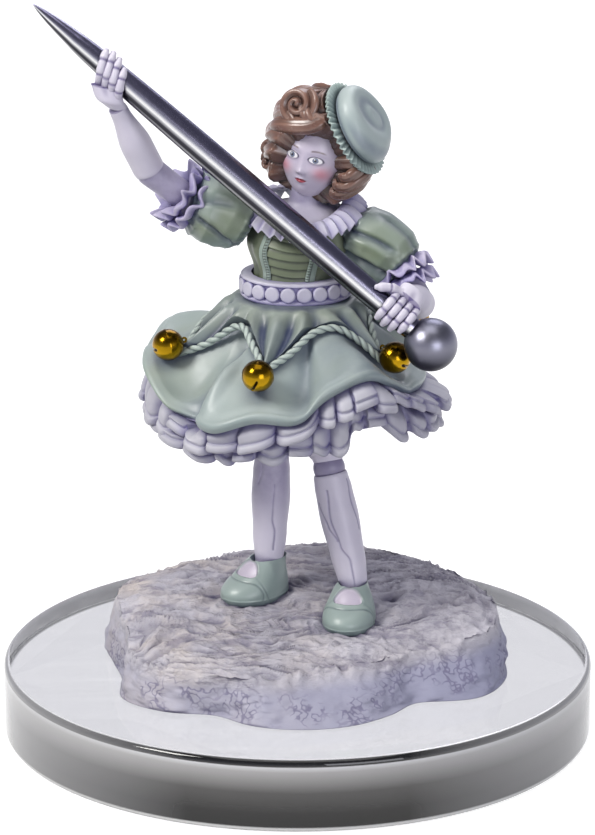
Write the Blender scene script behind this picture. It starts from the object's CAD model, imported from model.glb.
"""A doll miniature with a hat pin, on a rock and a clear round base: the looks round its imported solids.

Shapes are worked out in millimetres and written to the meshes in metres. The doll faces -Y.
"""
import math

import bmesh
import bpy
from mathutils import Matrix, Vector, noise


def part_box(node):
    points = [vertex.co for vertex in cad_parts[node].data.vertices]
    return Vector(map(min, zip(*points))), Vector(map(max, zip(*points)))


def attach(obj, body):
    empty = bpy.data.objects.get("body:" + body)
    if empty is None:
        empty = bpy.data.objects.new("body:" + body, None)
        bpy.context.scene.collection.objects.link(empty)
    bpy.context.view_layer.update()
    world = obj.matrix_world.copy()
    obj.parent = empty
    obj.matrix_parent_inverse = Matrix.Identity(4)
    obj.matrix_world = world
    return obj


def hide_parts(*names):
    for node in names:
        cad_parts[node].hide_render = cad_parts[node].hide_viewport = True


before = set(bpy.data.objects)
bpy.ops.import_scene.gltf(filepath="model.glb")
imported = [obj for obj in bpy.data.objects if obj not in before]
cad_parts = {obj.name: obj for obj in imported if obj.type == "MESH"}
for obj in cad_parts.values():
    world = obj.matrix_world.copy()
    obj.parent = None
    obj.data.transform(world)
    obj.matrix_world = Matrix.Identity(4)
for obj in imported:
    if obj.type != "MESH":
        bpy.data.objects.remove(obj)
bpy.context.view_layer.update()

MM = 0.001
TURN = 2 * math.pi
FORWARD = Vector((0, -1, 0))
UP = Vector((0, 0, 1))
GAP = 0.05
SIDES = ("right", "left")

# Sizes of the doll and of what it wears, as in the solids
DISC_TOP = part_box("clear_disc")[1].z / MM
DISC_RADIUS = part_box("clear_disc")[1].x / MM
STATURE = 22.0
GROUND = DISC_TOP + 2.95
ROCK_RADIUS = 8.6
ROCK_FALL = 0.95
ROCK_ROUNDING = 0.42
ROCK_CENTRE = Vector((0.2, -1.3, 0))
ANKLE, CALF, KNEE, THIGH = 0.58, 0.82, 0.78, 0.88
SHOE_LENGTH, SHOE_WIDTH, SHOE_HEIGHT = 3.2, 2.15, 1.7
SKIRT_TOP_RADIUS = 2.35
SKIRT_RADIUS = 6.4
SKIRT_DROP = 4.6
SKIRT_SLOPE = 0.88
SKIRT_BULGE = 0.75
HEM_BAND, HEM_DIP = 0.6, 0.12
WAIST_WIDTH, BUST_WIDTH = 1.8, 2.2
TORSO_DEPTH = 0.76
NECKLINE_TILT = 0.45
BELT_HEIGHT, BELT_ROLL = 1.0, 0.1
PUFF = {"right": 1.5, "left": 1.36}
CUFF = {"right": 1.5, "left": 1.32}
CUFF_STEP = 0.62
UPPER_ARM, ELBOW, WRIST = 0.62, 0.66, 0.4
PALM_WIDTH, PALM_THICKNESS, FINGER = 0.66, 0.3, 0.18
HEAD_WIDTH, HEAD_DEPTH, HEAD_HEIGHT = 1.4, 1.4, 1.84
PIN_RADIUS, PIN_POINT, PIN_KNOB, KNOB_RADIUS = 0.59, 4.06, 2.08, 1.07
BERET_RADIUS, BERET_RISE, FRILL_WIDTH = 1.68, 1.0, 0.7

# Where the doll's joints are, as shares of its height from the middle of the ground under it
POSE_SHARES = {
    "rightAnkle": (-0.0545, -0.0091, 0.0682),
    "rightKnee": (-0.0488, -0.0045, 0.272),
    "rightHip": (-0.046, 0, 0.39),
    "leftAnkle": (0.1068, -0.0932, 0.0432),
    "leftKnee": (0.0619, -0.0455, 0.2483),
    "leftHip": (0.04, -0.0091, 0.38),
    "rightSole": (-0.0809, -0.0327, -0.0068),
    "leftSole": (0.1, -0.1295, -0.0273),
    "waist": (-0.0045, 0, 0.592),
    "neckline": (0.0091, 0, 0.739),
    "rightShoulder": (-0.095, 0, 0.7284),
    "rightSleeveEnd": (-0.2018, -0.0136, 0.7747),
    "rightElbow": (-0.2765, -0.03, 0.838),
    "rightWrist": (-0.3336, -0.0727, 0.9682),
    "rightGrip": (-0.3487, -0.0614, 1.039),
    "leftShoulder": (0.1027, 0, 0.7206),
    "leftSleeveEnd": (0.1967, -0.0318, 0.6473),
    "leftElbow": (0.2304, -0.0545, 0.5853),
    "leftWrist": (0.2085, -0.1318, 0.6265),
    "leftGrip": (0.1792, -0.1636, 0.5988),
    "head": (0.033, -0.0045, 0.864),
}


def place(name):
    """The place of one of the doll's joints, in millimetres."""
    x, y, z = POSE_SHARES[name]
    return Vector((x, y, z)) * STATURE + UP * GROUND


# Helpers for shapes
def mix(a, b, t):
    return a + (b - a) * t


def clamp(x, low=0.0, high=1.0):
    return min(max(x, low), high)


def ease(low, high, x):
    t = clamp((x - low) / (high - low))
    return t * t * (3 - 2 * t)


def hump(x, width):
    return math.exp(-((x / width) ** 2))


def smooth(a, b, c, d, t):
    """What lies at share t of the way from b to c, on a smooth curve through a, b, c and d."""
    square = (2 * a - 5 * b + 4 * c - d) * t * t
    cube = (3 * (b - c) + d - a) * t ** 3
    return (2 * b + (c - a) * t + square + cube) / 2


def around(shares, angle):
    """A smooth value round the turn, through shares at equal steps that start at the front."""
    at = (angle / TURN % 1) * len(shares)
    step = math.floor(at)
    near = [shares[(step + i) % len(shares)] for i in (-1, 0, 1, 2)]
    return smooth(*near, at - step)


def along(table, share):
    """A smooth value between the rows of a table of (share, value)."""
    for (low, a), (high, b) in zip(table, table[1:]):
        if share <= high:
            return mix(a, b, ease(low, high, share))
    return table[-1][1]


def angle_from(angle, middle):
    """How far an angle is from a middle, the short way round."""
    return (angle - middle + math.pi) % TURN - math.pi


def polar(centre, radius, angle, height):
    return Vector((centre.x + radius * math.sin(angle), centre.y - radius * math.cos(angle), height))


def rough(point):
    """Noise of a point, from about -1 to 1."""
    return noise.fractal(point, 0.6, 2.1, 3, noise_basis="PERLIN_ORIGINAL")


UNPAINTED = (0, 0, 0, 0)


def skin(across, down, rule):
    """A closed skin laid over a grid: rule(u, v) gives each point, how deep it lies in a fold and,
    where there are patches, its own colour."""
    form = bmesh.new()
    wash = form.verts.layers.float.new("wash")
    paint = form.verts.layers.float_color.new("paint")
    bmesh.ops.create_grid(form, x_segments=across, y_segments=down, size=1)
    for vert in form.verts:
        u, v = (vert.co.x + 1) / 2, (vert.co.y + 1) / 2
        point, depth, *colour = rule(u, v)
        vert.co = point * MM
        vert[wash] = depth
        vert[paint] = colour[0] if colour else UNPAINTED
    bmesh.ops.remove_doubles(form, verts=form.verts, dist=0.0003 * MM)
    bmesh.ops.recalc_face_normals(form, faces=form.faces)
    return form


def bare_form():
    """An empty form with the two layers that the paints read."""
    form = bmesh.new()
    form.verts.layers.float.new("wash")
    form.verts.layers.float_color.new("paint")
    return form


def gathered(forms):
    """Several forms as one."""
    whole, *others = forms
    for form in others:
        spare = bpy.data.meshes.new("spare")
        form.to_mesh(spare)
        form.free()
        whole.from_mesh(spare)
        bpy.data.meshes.remove(spare)
    return whole


def piece(name, form, finish, nodes=()):
    """A finished piece that stands for its CAD nodes."""
    mesh = bpy.data.meshes.new(name)
    form.to_mesh(mesh)
    form.free()
    mesh.shade_smooth()
    mesh.materials.append(finish.material)
    shape = bpy.data.objects.new(name, mesh)
    bpy.context.scene.collection.objects.link(shape)
    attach(shape, "root")
    if nodes:
        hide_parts(*nodes)
    return shape


def curve_through(points):
    """A smooth curve through points: share of its length to (point, direction)."""
    points = [Vector(p) for p in points]
    ends = [2 * points[0] - points[1], *points, 2 * points[-1] - points[-2]]
    steps = 16
    samples = []
    for near in zip(ends, ends[1:], ends[2:], ends[3:]):
        samples += [smooth(*near, i / steps) for i in range(steps)]
    samples.append(points[-1])
    reached = [0.0]
    for a, b in zip(samples, samples[1:]):
        reached.append(reached[-1] + (b - a).length)

    def at(share):
        want = clamp(share) * reached[-1]
        low, high = 0, len(reached) - 1
        while high - low > 1:
            middle = (low + high) // 2
            low, high = (middle, high) if reached[middle] <= want else (low, middle)
        t = (want - reached[low]) / max(reached[high] - reached[low], 1e-9)
        before, after = samples[max(low - 1, 0)], samples[min(high + 1, len(samples) - 1)]
        direction = (samples[high] - before).lerp(after - samples[low], t)
        return samples[low].lerp(samples[high], t), direction.normalized()

    return at


def curve_of_values(values):
    """Smooth vectors through evenly spaced ones."""
    ends = [2 * values[0] - values[1], *values, 2 * values[-1] - values[-2]]

    def at(share):
        step = clamp(share) * (len(values) - 1)
        low = min(int(step), len(values) - 2)
        return smooth(*ends[low:low + 4], step - low)

    return at


# Share of a limb's rows in each of its round ends
END_ROWS = 0.11


def limb(points, sections, sides, rows, across=FORWARD, relief=None, round_ends=0.5):
    """A round limb along a curve, with its radius by share of the length in sections.

    relief(angle, share) gives how far the surface rises there and how deep it lies in a fold.
    """
    path = curve_through(points)
    cap = [max(round_ends * radius, 1e-4) for radius in (sections[0][1], sections[-1][1])]

    def rule(u, v):
        share = clamp((v - END_ROWS) / (1 - 2 * END_ROWS))
        point, direction = path(share)
        wide = across.cross(direction).normalized()
        deep = direction.cross(wide)
        turn = clamp(min(v, 1 - v) / END_ROWS) * math.pi / 2
        radius = along(sections, share) * math.sin(turn)
        point = point + direction * math.cos(turn) * (-cap[0] if v < 0.5 else cap[1])
        angle = TURN * u
        rise, depth = relief(angle, share) if relief else (0, 0)
        radius += rise * turn / (math.pi / 2)
        out = wide * math.sin(angle) + deep * math.cos(angle)
        return point + out * radius, depth

    return skin(sides, rows, rule)


def basis_along(direction, across):
    """Three axes whose third runs along a direction, with the first square to a second one."""
    z = direction.normalized()
    x = across.cross(z).normalized()
    return Matrix((x, z.cross(x), z)).transposed().to_4x4()


def framed(form, matrix):
    """Moves a form from its own frame, in millimetres, to its place."""
    own = Matrix.Scale(MM, 4) @ matrix @ Matrix.Scale(1 / MM, 4)
    bmesh.ops.transform(form, matrix=own, verts=form.verts)
    return form


# Finishes
def srgb(code):
    """A colour written as hex, as the linear numbers that Blender takes."""
    parts = [int(code[i:i + 2], 16) / 255 for i in (0, 2, 4)]
    return tuple((c / 12.92 if c <= 0.04045 else ((c + 0.055) / 1.055) ** 2.4) for c in parts) + (1,)


class Nodes:
    """A tree of shader nodes, added one at a time."""

    def __init__(self, tree):
        self.tree = tree

    def node(self, kind, inputs=(), **settings):
        node = self.tree.nodes.new(kind)
        for key, value in settings.items():
            setattr(node, key, value)
        for key, value in dict(inputs).items():
            self.put(node.inputs[key], value)
        return node

    def put(self, socket, value):
        if isinstance(value, bpy.types.NodeSocket):
            self.tree.links.new(value, socket)
        else:
            socket.default_value = value

    def ramp(self, value, low, high, start=0.0, end=1.0):
        inputs = {"Value": value, "From Min": low, "From Max": high, "To Min": start, "To Max": end}
        return self.node("ShaderNodeMapRange", inputs, clamp=True).outputs[0]

    def blend(self, share, a, b):
        node = self.node("ShaderNodeMix", data_type="RGBA")
        self.put(node.inputs["Factor"], share)
        self.put(node.inputs["A"], a)
        self.put(node.inputs["B"], b)
        return node.outputs["Result"]

    def maths(self, a, b, operation="ADD"):
        node = self.node("ShaderNodeMath", operation=operation)
        self.put(node.inputs[0], a)
        self.put(node.inputs[1], b)
        return node.outputs[0]

    def split(self, vector):
        return self.node("ShaderNodeSeparateXYZ", {"Vector": vector}).outputs


class Finish(Nodes):
    """A material whose shader is built up step by step. Scales of its grain are in waves per metre."""

    def __init__(self, name):
        self.material = bpy.data.materials.new(name)
        self.material.use_nodes = True
        super().__init__(self.material.node_tree)
        self.shader = self.tree.nodes["Principled BSDF"]
        self.place = self.node("ShaderNodeTexCoord").outputs["Object"]

    def shade(self, inputs):
        """Gives the shader its colours and numbers."""
        for key, value in inputs.items():
            self.put(self.shader.inputs[key], value)

    def grain(self, scale, detail, rough=0.6, stretch=(1, 1, 1)):
        at = self.place
        if stretch != (1, 1, 1):
            at = self.node("ShaderNodeMapping", {"Vector": at, "Scale": stretch}).outputs[0]
        inputs = {"Vector": at, "Scale": scale, "Detail": detail, "Roughness": rough}
        return self.node("ShaderNodeTexNoise", inputs).outputs["Fac"]

    def facing_up(self):
        """How far the surface faces up, from -1 to 1."""
        return self.split(self.node("ShaderNodeNewGeometry").outputs["Normal"])["Z"]

    def openness(self, reach):
        """How little there is round a point within a reach in millimetres."""
        return self.node("ShaderNodeAmbientOcclusion", {"Distance": reach * MM}, samples=8).outputs["AO"]

    def marked(self, name):
        """What the mesh itself marks: its wash in the folds, or the colours of its patches."""
        return self.node("ShaderNodeAttribute", attribute_name=name).outputs

    def bands(self, value, stops):
        """Colours that follow each other as a value goes from 0 to 1."""
        node = self.node("ShaderNodeValToRGB", {"Fac": value})
        marks = node.color_ramp.elements
        while len(marks) < len(stops):
            marks.new(1.0)
        for mark, (at, code) in zip(marks, stops):
            mark.position = at
            mark.color = srgb(code)
        return node.outputs["Color"]

    def raised(self, height, depth, strength):
        node = self.node("ShaderNodeBump", {"Height": height, "Distance": depth, "Strength": strength})
        self.put(self.shader.inputs["Normal"], node.outputs[0])


def painted(name, base, light, deep, gloss, reach, coat=0.15, mottle=0.35, warm=None):
    """Brushed paint: lighter on what stands proud and up, with a darker wash in the folds."""
    finish = Finish(name)
    cloud = finish.ramp(finish.grain(420, 3), 0.35, 0.68)
    fine = finish.grain(2600, 3, 0.7)
    colour = finish.blend(finish.maths(cloud, mottle, "MULTIPLY"), srgb(base), srgb(light))
    if warm:
        patch = finish.ramp(finish.grain(260, 2), 0.5, 0.7, 0, 0.6)
        colour = finish.blend(patch, colour, srgb(warm))
    colour = finish.blend(finish.ramp(finish.facing_up(), 0.1, 1.0, 0, 0.45), colour, srgb(light))
    shade = finish.ramp(finish.openness(reach), 0.35, 0.95, 0.85, 0.0)
    wash = finish.maths(shade, finish.marked("wash")["Fac"], "MAXIMUM")
    worn = finish.maths(wash, finish.ramp(fine, 0.3, 0.8, 0.8, 1.1), "MULTIPLY")
    finish.shade({
        "Base Color": finish.blend(worn, colour, srgb(deep)),
        "Roughness": finish.ramp(fine, 0.2, 0.8, gloss - 0.06, gloss + 0.08),
        "Coat Weight": coat,
        "Coat Roughness": 0.35,
    })
    finish.raised(finish.maths(fine, finish.grain(900, 2)), 0.012 * MM, 0.5)
    return finish


def with_patches(finish):
    """The same paint with other colours on the patches that a piece marks."""
    patch = finish.marked("paint")
    base = finish.shader.inputs["Base Color"].links[0].from_socket
    finish.shade({"Base Color": finish.blend(patch["Alpha"], base, patch["Color"])})
    return finish


def polished(finish, colour, roughness):
    """Metal in a colour, with fine marks that catch the light."""
    fine = finish.grain(2600, 3)
    finish.shade({
        "Base Color": colour,
        "Metallic": 1.0,
        "Roughness": finish.ramp(fine, 0.3, 0.8, roughness, roughness + 0.06),
    })
    finish.raised(fine, 0.002 * MM, 0.3)
    return finish


def gold_finish(upper, middle, under):
    """Gold paint, shaded darker above and below so that it gleams along the middle."""
    finish = Finish("gold_paint")
    rise = finish.facing_up()
    colour = finish.blend(finish.ramp(rise, -0.5, 0.6), srgb(middle), srgb(upper))
    colour = finish.blend(finish.ramp(rise, -0.9, -0.65, 1, 0), colour, srgb(under))
    colour = finish.blend(finish.ramp(finish.grain(700, 3), 0.4, 0.75, 0, 0.35), colour, srgb(under))
    colour = finish.blend(finish.ramp(finish.openness(0.25), 0.3, 0.9, 0.8, 0), colour, srgb("1c1408"))
    colour = finish.blend(finish.marked("wash")["Fac"], colour, srgb("241803"))
    return polished(finish, colour, 0.17)


def steel_finish(name, stops, roughness):
    """Polished steel, drawn darker and lighter in bands from its upper side to its under side."""
    finish = Finish(name)
    brushed = finish.maths(finish.grain(500, 3), 0.06, "MULTIPLY")
    level = finish.ramp(finish.maths(finish.facing_up(), brushed), -0.97, 1.03)
    bands = finish.bands(level, [((rise + 1) / 2, code) for rise, code in stops])
    colour = finish.blend(finish.ramp(finish.openness(0.2), 0.3, 0.9, 0.7, 0), bands, srgb("26252c"))
    return polished(finish, colour, roughness)


def stone_finish():
    """Grey stone, tan at the left, with curled marks on its smoother wall, which the rock marks."""
    finish = Finish("stone_paint")
    wall = finish.marked("paint")["Alpha"]
    sideways = finish.split(finish.place)["X"]
    cloud = finish.ramp(finish.grain(230, 4), 0.35, 0.65)
    colour = finish.blend(cloud, srgb("b0adb6"), srgb("cecbd2"))

    toward_left = finish.ramp(sideways, -9 * MM, 6 * MM, 0.95, 0.1)
    tan = finish.maths(toward_left, finish.ramp(finish.grain(520, 3), 0.4, 0.66), "MULTIPLY")
    colour = finish.blend(tan, colour, srgb("cfc5be"))
    toward_right = finish.ramp(sideways, -7 * MM, 7 * MM, 0.45, 0.95)
    colour = finish.blend(finish.maths(wall, toward_right, "MULTIPLY"), colour, srgb("9798b0"))

    from_line = finish.maths(finish.maths(finish.grain(3100, 1, 0.4), 0.5, "SUBTRACT"), 0, "ABSOLUTE")
    curl = finish.ramp(from_line, 0.02, 0.075, 1, 0)
    cluster = finish.ramp(finish.grain(560, 2), 0.47, 0.56)
    strength = finish.ramp(wall, 0, 1, 0.15, 0.7)
    marks = finish.maths(finish.maths(curl, cluster, "MULTIPLY"), strength, "MULTIPLY")
    colour = finish.blend(marks, colour, srgb("676180"))

    layers = finish.ramp(finish.grain(1500, 5, 0.62, (0.36, 1, 1)), 0.36, 0.62)
    cleft = finish.ramp(layers, 0.05, 0.4, 0.5, 0)
    cleft = finish.maths(cleft, finish.ramp(wall, 0, 1, 1, 0.12), "MULTIPLY")
    colour = finish.blend(cleft, colour, srgb("655f78"))
    shade = finish.ramp(finish.openness(0.4), 0.4, 0.95, 0.85, 0.0)
    wash = finish.maths(shade, finish.marked("wash")["Fac"], "MAXIMUM")
    finish.shade({
        "Base Color": finish.blend(wash, colour, srgb("544f6c")),
        "Roughness": 0.62,
        "Coat Weight": 0.12,
        "Coat Roughness": 0.4,
    })
    rugged = finish.ramp(wall, 0, 1, 1, 0.08)
    chips = finish.maths(finish.maths(finish.grain(2400, 4, 0.7), layers), rugged, "MULTIPLY")
    finish.raised(chips, 0.09 * MM, 0.9)
    return finish


def clear_finish(stops):
    """Clear acrylic whose polished wall looks darker towards the table and paler at its two sides."""
    finish = Finish("clear_acrylic")
    at = finish.split(finish.place)
    wall = finish.ramp(finish.maths(finish.facing_up(), 0, "ABSOLUTE"), 0.9, 0.98, 1, 0)
    height = finish.ramp(at["Z"], 0, DISC_TOP * MM)
    bands = finish.bands(height, [(level / DISC_TOP, code) for level, code in stops])
    pale = finish.ramp(finish.maths(at["X"], 0, "ABSOLUTE"), 4.5 * MM, DISC_RADIUS * MM, 0, 0.5)
    grey = finish.blend(pale, bands, srgb("c4c4c6"))
    finish.shade({
        "Base Color": finish.blend(wall, srgb("d0d0d5"), grey),
        "Transmission Weight": finish.ramp(wall, 0, 1, 1, 0.12),
        "IOR": 1.49,
        "Roughness": finish.ramp(finish.grain(160, 3), 0.4, 0.8, 0.01, 0.05),
    })
    return finish


# The paints, each with its base, its light and its wash
PORCELAIN = painted("porcelain_paint", "d1ccdc", "e8e4ec", "6d638f", gloss=0.42, reach=0.5)
KNEE_PAINT = painted("knee_paint", "8d86a3", "a59eb8", "55506c", gloss=0.4, reach=0.3, mottle=0.6)
FACE_PAINT = with_patches(painted("face_paint", "cfc6d8", "e6dfeb", "7d7196", gloss=0.34, reach=0.3,
                                  coat=0.35, mottle=0.25))
GREEN = painted("green_paint", "8f9e9c", "b4bdb9", "565f78", gloss=0.4, reach=0.8, warm="8d9a84")
OVERLAY_PAINT = painted("overlay_paint", "6f7d7d", "b4bcb5", "3c4560", gloss=0.4, reach=0.6, warm="707a58")
CORD_PAINT = painted("cord_paint", "a9b8b0", "ccd6cd", "4f5a62", gloss=0.42, reach=0.25)
SLEEVE_PAINT = painted("sleeve_paint", "788984", "bac5c3", "3b465e", gloss=0.34, reach=0.6, warm="7f8a66")
TRIM_PAINT = painted("trim_paint", "8b9c93", "b4c0b5", "333a38", gloss=0.4, reach=0.25)
SHOE_PAINT = with_patches(painted("shoe_paint", "889a94", "b3c0bb", "4b5860", gloss=0.36, reach=0.35,
                                  coat=0.3))
BERET_PAINT = painted("beret_paint", "9aa9a8", "c6d0cd", "5f6880", gloss=0.4, reach=0.8)
FRILL_PAINT = painted("frill_paint", "a0b3ae", "c9d5cf", "4a5559", gloss=0.42, reach=0.25)
BODICE = painted("bodice_paint", "6a745c", "919b80", "2c3230", gloss=0.45, reach=0.4)
LACE = painted("lace_paint", "c3c0d2", "e2dfea", "6f67a6", gloss=0.55, reach=0.6)
FLOUNCE = painted("flounce_paint", "b4b3bc", "d5d4d8", "625c90", gloss=0.55, reach=0.6)
CUFF_PAINT = painted("cuff_paint", "b5aed6", "d9d3ea", "5e5599", gloss=0.5, reach=0.5, warm="b8b0b0")
HAIR_PAINT = painted("hair_paint_waves", "704f42", "a67f6d", "24151a", gloss=0.24, reach=0.4, coat=0.6)
GOLD = gold_finish("80600e", "bb941a", "463105")

# Bands of the pin and of its knob, by how far they face up
PIN_BANDS = [(-1, "3a3a3e"), (-0.62, "35353a"), (-0.5, "8f8f92"), (-0.38, "2c2c30"), (-0.2, "3c3b42"),
             (-0.06, "a2a2a6"), (0.02, "e6e6e6"), (0.12, "e6e6e6"), (0.26, "9f9dab"), (0.4, "908da5"),
             (0.66, "8784a0"), (0.8, "9694ad"), (0.9, "bfbec6")]
KNOB_BANDS = [(-1, "2e2e34"), (-0.55, "45454e"), (-0.15, "6c6c78"), (0.3, "8b8b98"), (0.7, "8a8a99"),
              (1, "7b7b8b")]
STEEL = steel_finish("steel_paint", PIN_BANDS, 0.22)
KNOB = steel_finish("knob_paint", KNOB_BANDS, 0.34)
STONE = stone_finish()

# Greys of the disc's polished wall by height: a pale foot, dark above it, and a black upper edge
WALL_BANDS = [(0, "dededc"), (0.17, "dededc"), (0.24, "0b0b0b"), (0.8, "141313"), (1.7, "454443"),
              (2.6, "a3a2a1"), (2.8, "cfcfd1"), (2.84, "101012"), (3.1, "101012")]
CLEAR = clear_finish(WALL_BANDS)


# Camera, lamps, floor and what the metal reflects. A lamp has its place and size in metres, its power
# and its colour
LAMPS = {
    "key": ((-0.2, -0.11, 0.23), 0.1, 0.72, (1, 0.98, 0.94)),
    "top": ((0.0, -0.02, 0.3), 0.2, 0.24, (1, 0.99, 0.97)),
    "fill": ((0.13, -0.28, 0.06), 0.16, 0.34, (0.94, 0.94, 1)),
    "rim": ((0.05, 0.2, 0.2), 0.14, 0.2, (0.92, 0.92, 1)),
}
LAMP_TARGET = Vector((0, 0, 0.016))
CAMERA_PLACE, CAMERA_TILT = (0, -0.18193, 0.07011), math.radians(72.756)


def set_camera():
    camera = bpy.data.cameras.new("camera")
    camera.lens = 195.6
    camera.sensor_width = 36
    camera.clip_start, camera.clip_end = 0.001, 10
    view = bpy.data.objects.new("camera", camera)
    view.location = CAMERA_PLACE
    view.rotation_euler = (CAMERA_TILT, 0, 0)
    bpy.context.scene.collection.objects.link(view)
    bpy.context.scene.camera = view
    bpy.context.scene.view_settings.view_transform = "Standard"


def hang_lamps():
    for name, (spot, size, power, colour) in LAMPS.items():
        lamp = bpy.data.lights.new(name, "AREA")
        lamp.size = size
        lamp.energy = power
        lamp.color = colour
        shape = bpy.data.objects.new(name, lamp)
        shape.location = spot
        aim = LAMP_TARGET - Vector(spot)
        shape.rotation_euler = aim.to_track_quat("-Z", "Y").to_euler()
        bpy.context.scene.collection.objects.link(shape)


def lay_floor():
    """A white floor that lights itself where it is seen, straight or in a reflection."""
    form = bmesh.new()
    bmesh.ops.create_grid(form, x_segments=1, y_segments=1, size=3)
    mesh = bpy.data.meshes.new("floor")
    form.to_mesh(mesh)
    form.free()
    floor = bpy.data.objects.new("floor", mesh)
    bpy.context.scene.collection.objects.link(floor)
    finish = Finish("floor_white")
    rays = finish.node("ShaderNodeLightPath").outputs
    seen = finish.maths(rays["Is Camera Ray"], rays["Is Glossy Ray"], "MAXIMUM")
    seen = finish.maths(seen, rays["Is Transmission Ray"], "MAXIMUM")
    finish.shade({
        "Base Color": (0.4, 0.4, 0.4, 1),
        "Roughness": 1.0,
        "Emission Strength": finish.maths(seen, 0.82, "MULTIPLY"),
        "Emission Color": (1, 1, 1, 1),
    })
    mesh.materials.append(finish.material)


def light_sky():
    """A dim sky that looks brighter in a reflection, and brightest near the floor."""
    world = bpy.data.worlds.new("studio")
    bpy.context.scene.world = world
    world.use_nodes = True
    nodes = Nodes(world.node_tree)
    height = nodes.split(nodes.node("ShaderNodeTexCoord").outputs["Generated"])["Z"]
    glow = nodes.ramp(height, 0.02, 0.5, 0.85, 0.16)
    rays = nodes.node("ShaderNodeLightPath").outputs
    mirrored = nodes.maths(rays["Is Glossy Ray"], rays["Is Transmission Ray"], "MAXIMUM")
    strength = nodes.node("ShaderNodeMix", {"Factor": mirrored, "A": 0.3, "B": glow}).outputs["Result"]
    sky = world.node_tree.nodes["Background"]
    nodes.put(sky.inputs["Strength"], strength)
    nodes.put(sky.inputs["Color"], (0.85, 0.86, 1, 1))


set_camera()
hang_lamps()
lay_floor()
light_sky()


# Clear disc
def clear_disc():
    """The round base, with rounded edges and flat faces."""
    form = bmesh.new()
    bmesh.ops.create_cone(form, cap_ends=True, segments=256, radius1=DISC_RADIUS * MM,
                          radius2=DISC_RADIUS * MM, depth=DISC_TOP * MM)
    bmesh.ops.translate(form, verts=form.verts, vec=(0, 0, DISC_TOP * MM / 2))
    rims = [edge for edge in form.edges if len({round(v.co.z, 6) for v in edge.verts}) == 1]
    upper = [edge for edge in rims if edge.verts[0].co.z > DISC_TOP * MM / 2]
    lower = [edge for edge in rims if edge.verts[0].co.z < DISC_TOP * MM / 2]
    for edges, width in ((upper, 0.24), (lower, 0.2)):
        bmesh.ops.bevel(form, geom=edges, offset=width * MM, offset_type="OFFSET", segments=5,
                        profile=0.5, affect="EDGES", material=-1)
    shape = piece("disc_clear", form, CLEAR, ["clear_disc"])
    for face in shape.data.polygons:
        face.use_smooth = abs(face.normal.z) < 0.999


clear_disc()

# Rock. Its foot and the edge of its top, as shares of its radius, once round from the front
ROCK_FOOT_SHARES = [
    0.92, 0.9, 0.84, 0.79, 0.98, 1.02, 1, 0.98, 0.95, 0.95, 0.95, 0.96, 0.93, 0.9, 0.88, 0.9, 0.95, 1, 0.93,
    0.91, 1, 0.95, 0.84, 0.9,
]
ROCK_EDGE_SHARES = [
    0.64, 0.6, 0.63, 0.66, 0.74, 0.93, 0.96, 0.93, 0.9, 0.9, 0.9, 0.92, 0.9, 0.86, 0.84, 0.85, 0.89, 0.94,
    0.9, 0.88, 0.93, 0.88, 0.82, 0.76,
]

# Shares of the rock's rows at which its top and its wall end
ROCK_TOP_ROWS, ROCK_WALL_ROWS = 0.64, 0.95

# Small pits beside the shoes: place and width
PITS = [(Vector((-3.55, -0.75)), 0.5), (Vector((3.9, -1.15)), 0.4)]

# Cracks down the rock's wall: angle, and how deep and crooked they are
WALL_CRACKS = [(-1.12, 0.5), (-0.93, 0.25), (-0.32, 0.55), (0.45, 0.3), (1.45, 0.6), (-1.9, 0.5),
               (2.5, 0.5)]


def rock_level(y):
    """Height of the rock's top before its grain."""
    return GROUND - ROCK_FALL * ease(-0.05, 0.85, -y / ROCK_RADIUS)


def rock_grain(x, y):
    """The layered ripples on the rock's top: (rise, depth in a crack)."""
    warp = Vector((x * 0.28, y * 0.5, 0))
    bend = 1.5 * noise.noise(warp) + 0.7 * noise.noise(warp * 2.3)
    flow = Vector((x * 0.42, (y + bend) * 1.9, 2.0))
    ridge = 1 - abs(noise.noise(flow)) * 2.6
    fine = 1 - abs(noise.noise(flow * 2.7)) * 2.4
    chips = noise.noise(Vector((x, y, 0)) * 3.1)
    rise = 0.17 * ridge + 0.1 * fine + 0.06 * chips
    return rise, clamp(ease(0.2, -1.0, ridge) * 0.42 + ease(0.1, -0.9, fine) * 0.34)


def shoe_hollow(spot):
    """How close a place on the rock is to a sole."""
    return max(hump((spot - place(side + "Sole").xy).length, 1.6) for side in SIDES)


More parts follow.
